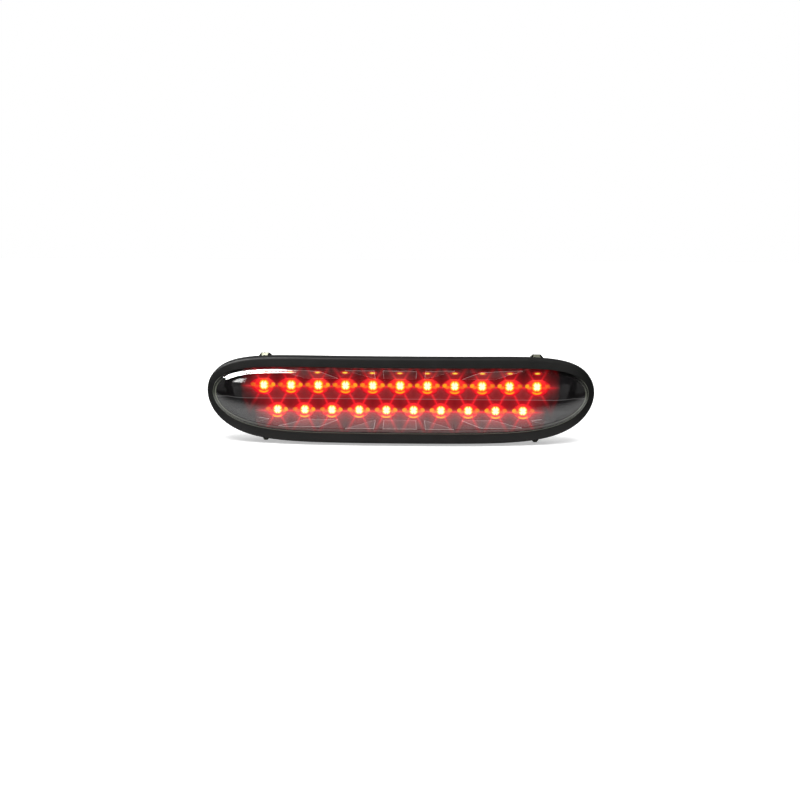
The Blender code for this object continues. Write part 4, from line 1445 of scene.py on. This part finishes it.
class BRAKELIGHT_OT_stage(BuildStep):
    """Lay the floor, hang the lights and set the camera."""
    bl_idname = "brakelight.stage"
    bl_label = "Stage"

    def execute(self, context):
        low, _high = CAD_BOX
        level = low[2] - self.shapes(context).floor_drop
        build_floor(level)
        build_lights()
        build_world()
        build_camera()
        context.scene.view_settings.view_transform = "Standard"
        return {"FINISHED"}


def build_floor(level):
    """A white table top, wide enough to fill the view."""
    signs = ((-1, -1), (1, -1), (1, 1), (-1, 1))
    data = bpy.data.meshes.new("floor")
    corners = [(x * TABLE_HALF, y * TABLE_HALF, level) for x, y in signs]
    data.from_pydata(corners, [], [(0, 1, 2, 3)])
    floor = new_object("floor", data)
    data.materials.append(table_finish())


def table_finish():
    """White laminate; what gloss mirrors of it fades to a dark room in front of the lamp."""
    made, tree, shader = new_material(
        "white_table", Base_Color=(0.94, 0.94, 0.94, 1.0), Roughness=0.7, Specular_IOR_Level=0.2)
    x, y, _z = split(tree, object_point(tree))
    x = x * TABLE_FADE_STRETCH
    away = (x * x + y * y).math("SQRT")
    dimmed = smooth_step(tree, away, TABLE_FADE_NEAR, TABLE_FADE_FAR, TABLE_DIMMING, 1.0)
    path = tree.nodes.new("ShaderNodeLightPath")
    shader.inputs["Emission Color"].default_value = (1.0, 1.0, 1.0, 1.0)
    plug(tree, Term(tree, path.outputs["Is Camera Ray"]) * TABLE_GLOW,
         shader.inputs["Emission Strength"])
    hidden = Term(tree, path.outputs["Is Glossy Ray"]) * dimmed
    dark = add_node(tree, "ShaderNodeEmission", Color=(0.02, 0.02, 0.02, 1.0), Strength=1.0)
    mix = add_node(tree, "ShaderNodeMixShader", Fac=hidden)
    tree.links.new(shader.outputs[0], mix.inputs[1])
    tree.links.new(dark.outputs[0], mix.inputs[2])
    tree.links.new(mix.outputs[0], tree.nodes["Material Output"].inputs["Surface"])
    return made


def aimed_light(name, kind, place, target, energy):
    data = bpy.data.lights.new(name, kind)
    data.energy = energy
    lamp = new_object(name, data)
    lamp.location = place
    lamp.rotation_euler = (Vector(target) - Vector(place)).to_track_quat("-Z", "Y").to_euler()
    return lamp


def build_lights():
    """A broad light overhead that nothing mirrors, and a softbox seen only in gloss."""
    overhead = aimed_light(
        "overhead", "SUN", OVERHEAD_PLACE, (0.0, 0.0, 0.0), OVERHEAD_STRENGTH)
    overhead.data.angle = math.radians(OVERHEAD_ANGLE)
    overhead.visible_glossy = False
    softbox = aimed_light("softbox", "AREA", SOFTBOX_PLACE, SOFTBOX_TARGET, SOFTBOX_POWER)
    softbox.data.shape = "RECTANGLE"
    softbox.data.size, softbox.data.size_y = SOFTBOX_SIZE
    softbox.visible_diffuse = False


def build_world():
    """A white surround to look at; what the gloss mirrors is a dim room over a pale floor."""
    world = bpy.data.worlds.new("studio")
    bpy.context.scene.world = world
    world.use_nodes = True
    tree = world.node_tree
    tree.nodes.clear()
    path = tree.nodes.new("ShaderNodeLightPath")
    seen = add_node(tree, "ShaderNodeBackground", Color=(1.0, 1.0, 1.0, 1.0), Strength=1.0)
    diffuse = Term(tree, path.outputs["Is Diffuse Ray"])
    room = add_node(tree, "ShaderNodeBackground", Color=(1.0, 1.0, 1.0, 1.0),
                    Strength=diffuse * (AMBIENT - ROOM) + ROOM)
    mix = add_node(tree, "ShaderNodeMixShader", Fac=path.outputs["Is Camera Ray"])
    tree.links.new(room.outputs[0], mix.inputs[1])
    tree.links.new(seen.outputs[0], mix.inputs[2])
    output = tree.nodes.new("ShaderNodeOutputWorld")
    tree.links.new(mix.outputs[0], output.inputs["Surface"])


def build_camera():
    """A long lens a little above the lamp and a touch to its right."""
    elevation = math.radians(CAMERA_ELEVATION)
    yaw = math.radians(CAMERA_YAW)
    roll = math.radians(CAMERA_ROLL)
    aim = Vector((0.0003, FRAME_FRONT, 0.0008))
    data = bpy.data.cameras.new("camera")
    data.sensor_width = 36.0
    data.lens = data.sensor_width * CAMERA_DISTANCE / VIEW_WIDTH
    data.clip_start = 0.02
    camera = new_object("camera", data)
    out = Vector((math.sin(yaw) * math.cos(elevation), -math.cos(yaw) * math.cos(elevation),
                  math.sin(elevation)))
    camera.location = aim + out * CAMERA_DISTANCE
    turn = (-out).to_track_quat("-Z", "Y")
    spin = Matrix.Rotation(roll, 3, "Z").to_quaternion()
    camera.rotation_euler = (turn @ spin).to_euler()
    bpy.context.scene.camera = camera


class BRAKELIGHT_PT_panel(bpy.types.Panel):
    """Lists the building steps and their settings."""
    bl_idname = "BRAKELIGHT_PT_panel"
    bl_label = "Brake Light"
    bl_space_type = "VIEW_3D"
    bl_region_type = "UI"
    bl_category = "Brake Light"

    def draw(self, context):
        column = self.layout.column()
        for settings in (context.scene.brake_light_finishes, context.scene.brake_light_shapes):
            for name in settings.bl_rna.properties.keys():
                if name not in ("rna_type", "name"):
                    column.prop(settings, name)
        for step in STEPS:
            column.operator(step.bl_idname)


STEPS = (
    BRAKELIGHT_OT_stage, BRAKELIGHT_OT_lens, BRAKELIGHT_OT_frame, BRAKELIGHT_OT_tray,
    BRAKELIGHT_OT_lamps, BRAKELIGHT_OT_housing, BRAKELIGHT_OT_inside,
)
CLASSES = (BrakeLightFinishes, BrakeLightShapes, *STEPS, BRAKELIGHT_PT_panel)


def register():
    for cls in CLASSES:
        bpy.utils.register_class(cls)
    bpy.types.Scene.brake_light_finishes = bpy.props.PointerProperty(type=BrakeLightFinishes)
    bpy.types.Scene.brake_light_shapes = bpy.props.PointerProperty(type=BrakeLightShapes)


def unregister():
    del bpy.types.Scene.brake_light_shapes
    del bpy.types.Scene.brake_light_finishes
    for cls in reversed(CLASSES):
        bpy.utils.unregister_class(cls)


def main():
    register()
    for step in STEPS:
        area, name = step.bl_idname.split(".")
        getattr(getattr(bpy.ops, area), name)()


if __name__ == "__main__":
    main()
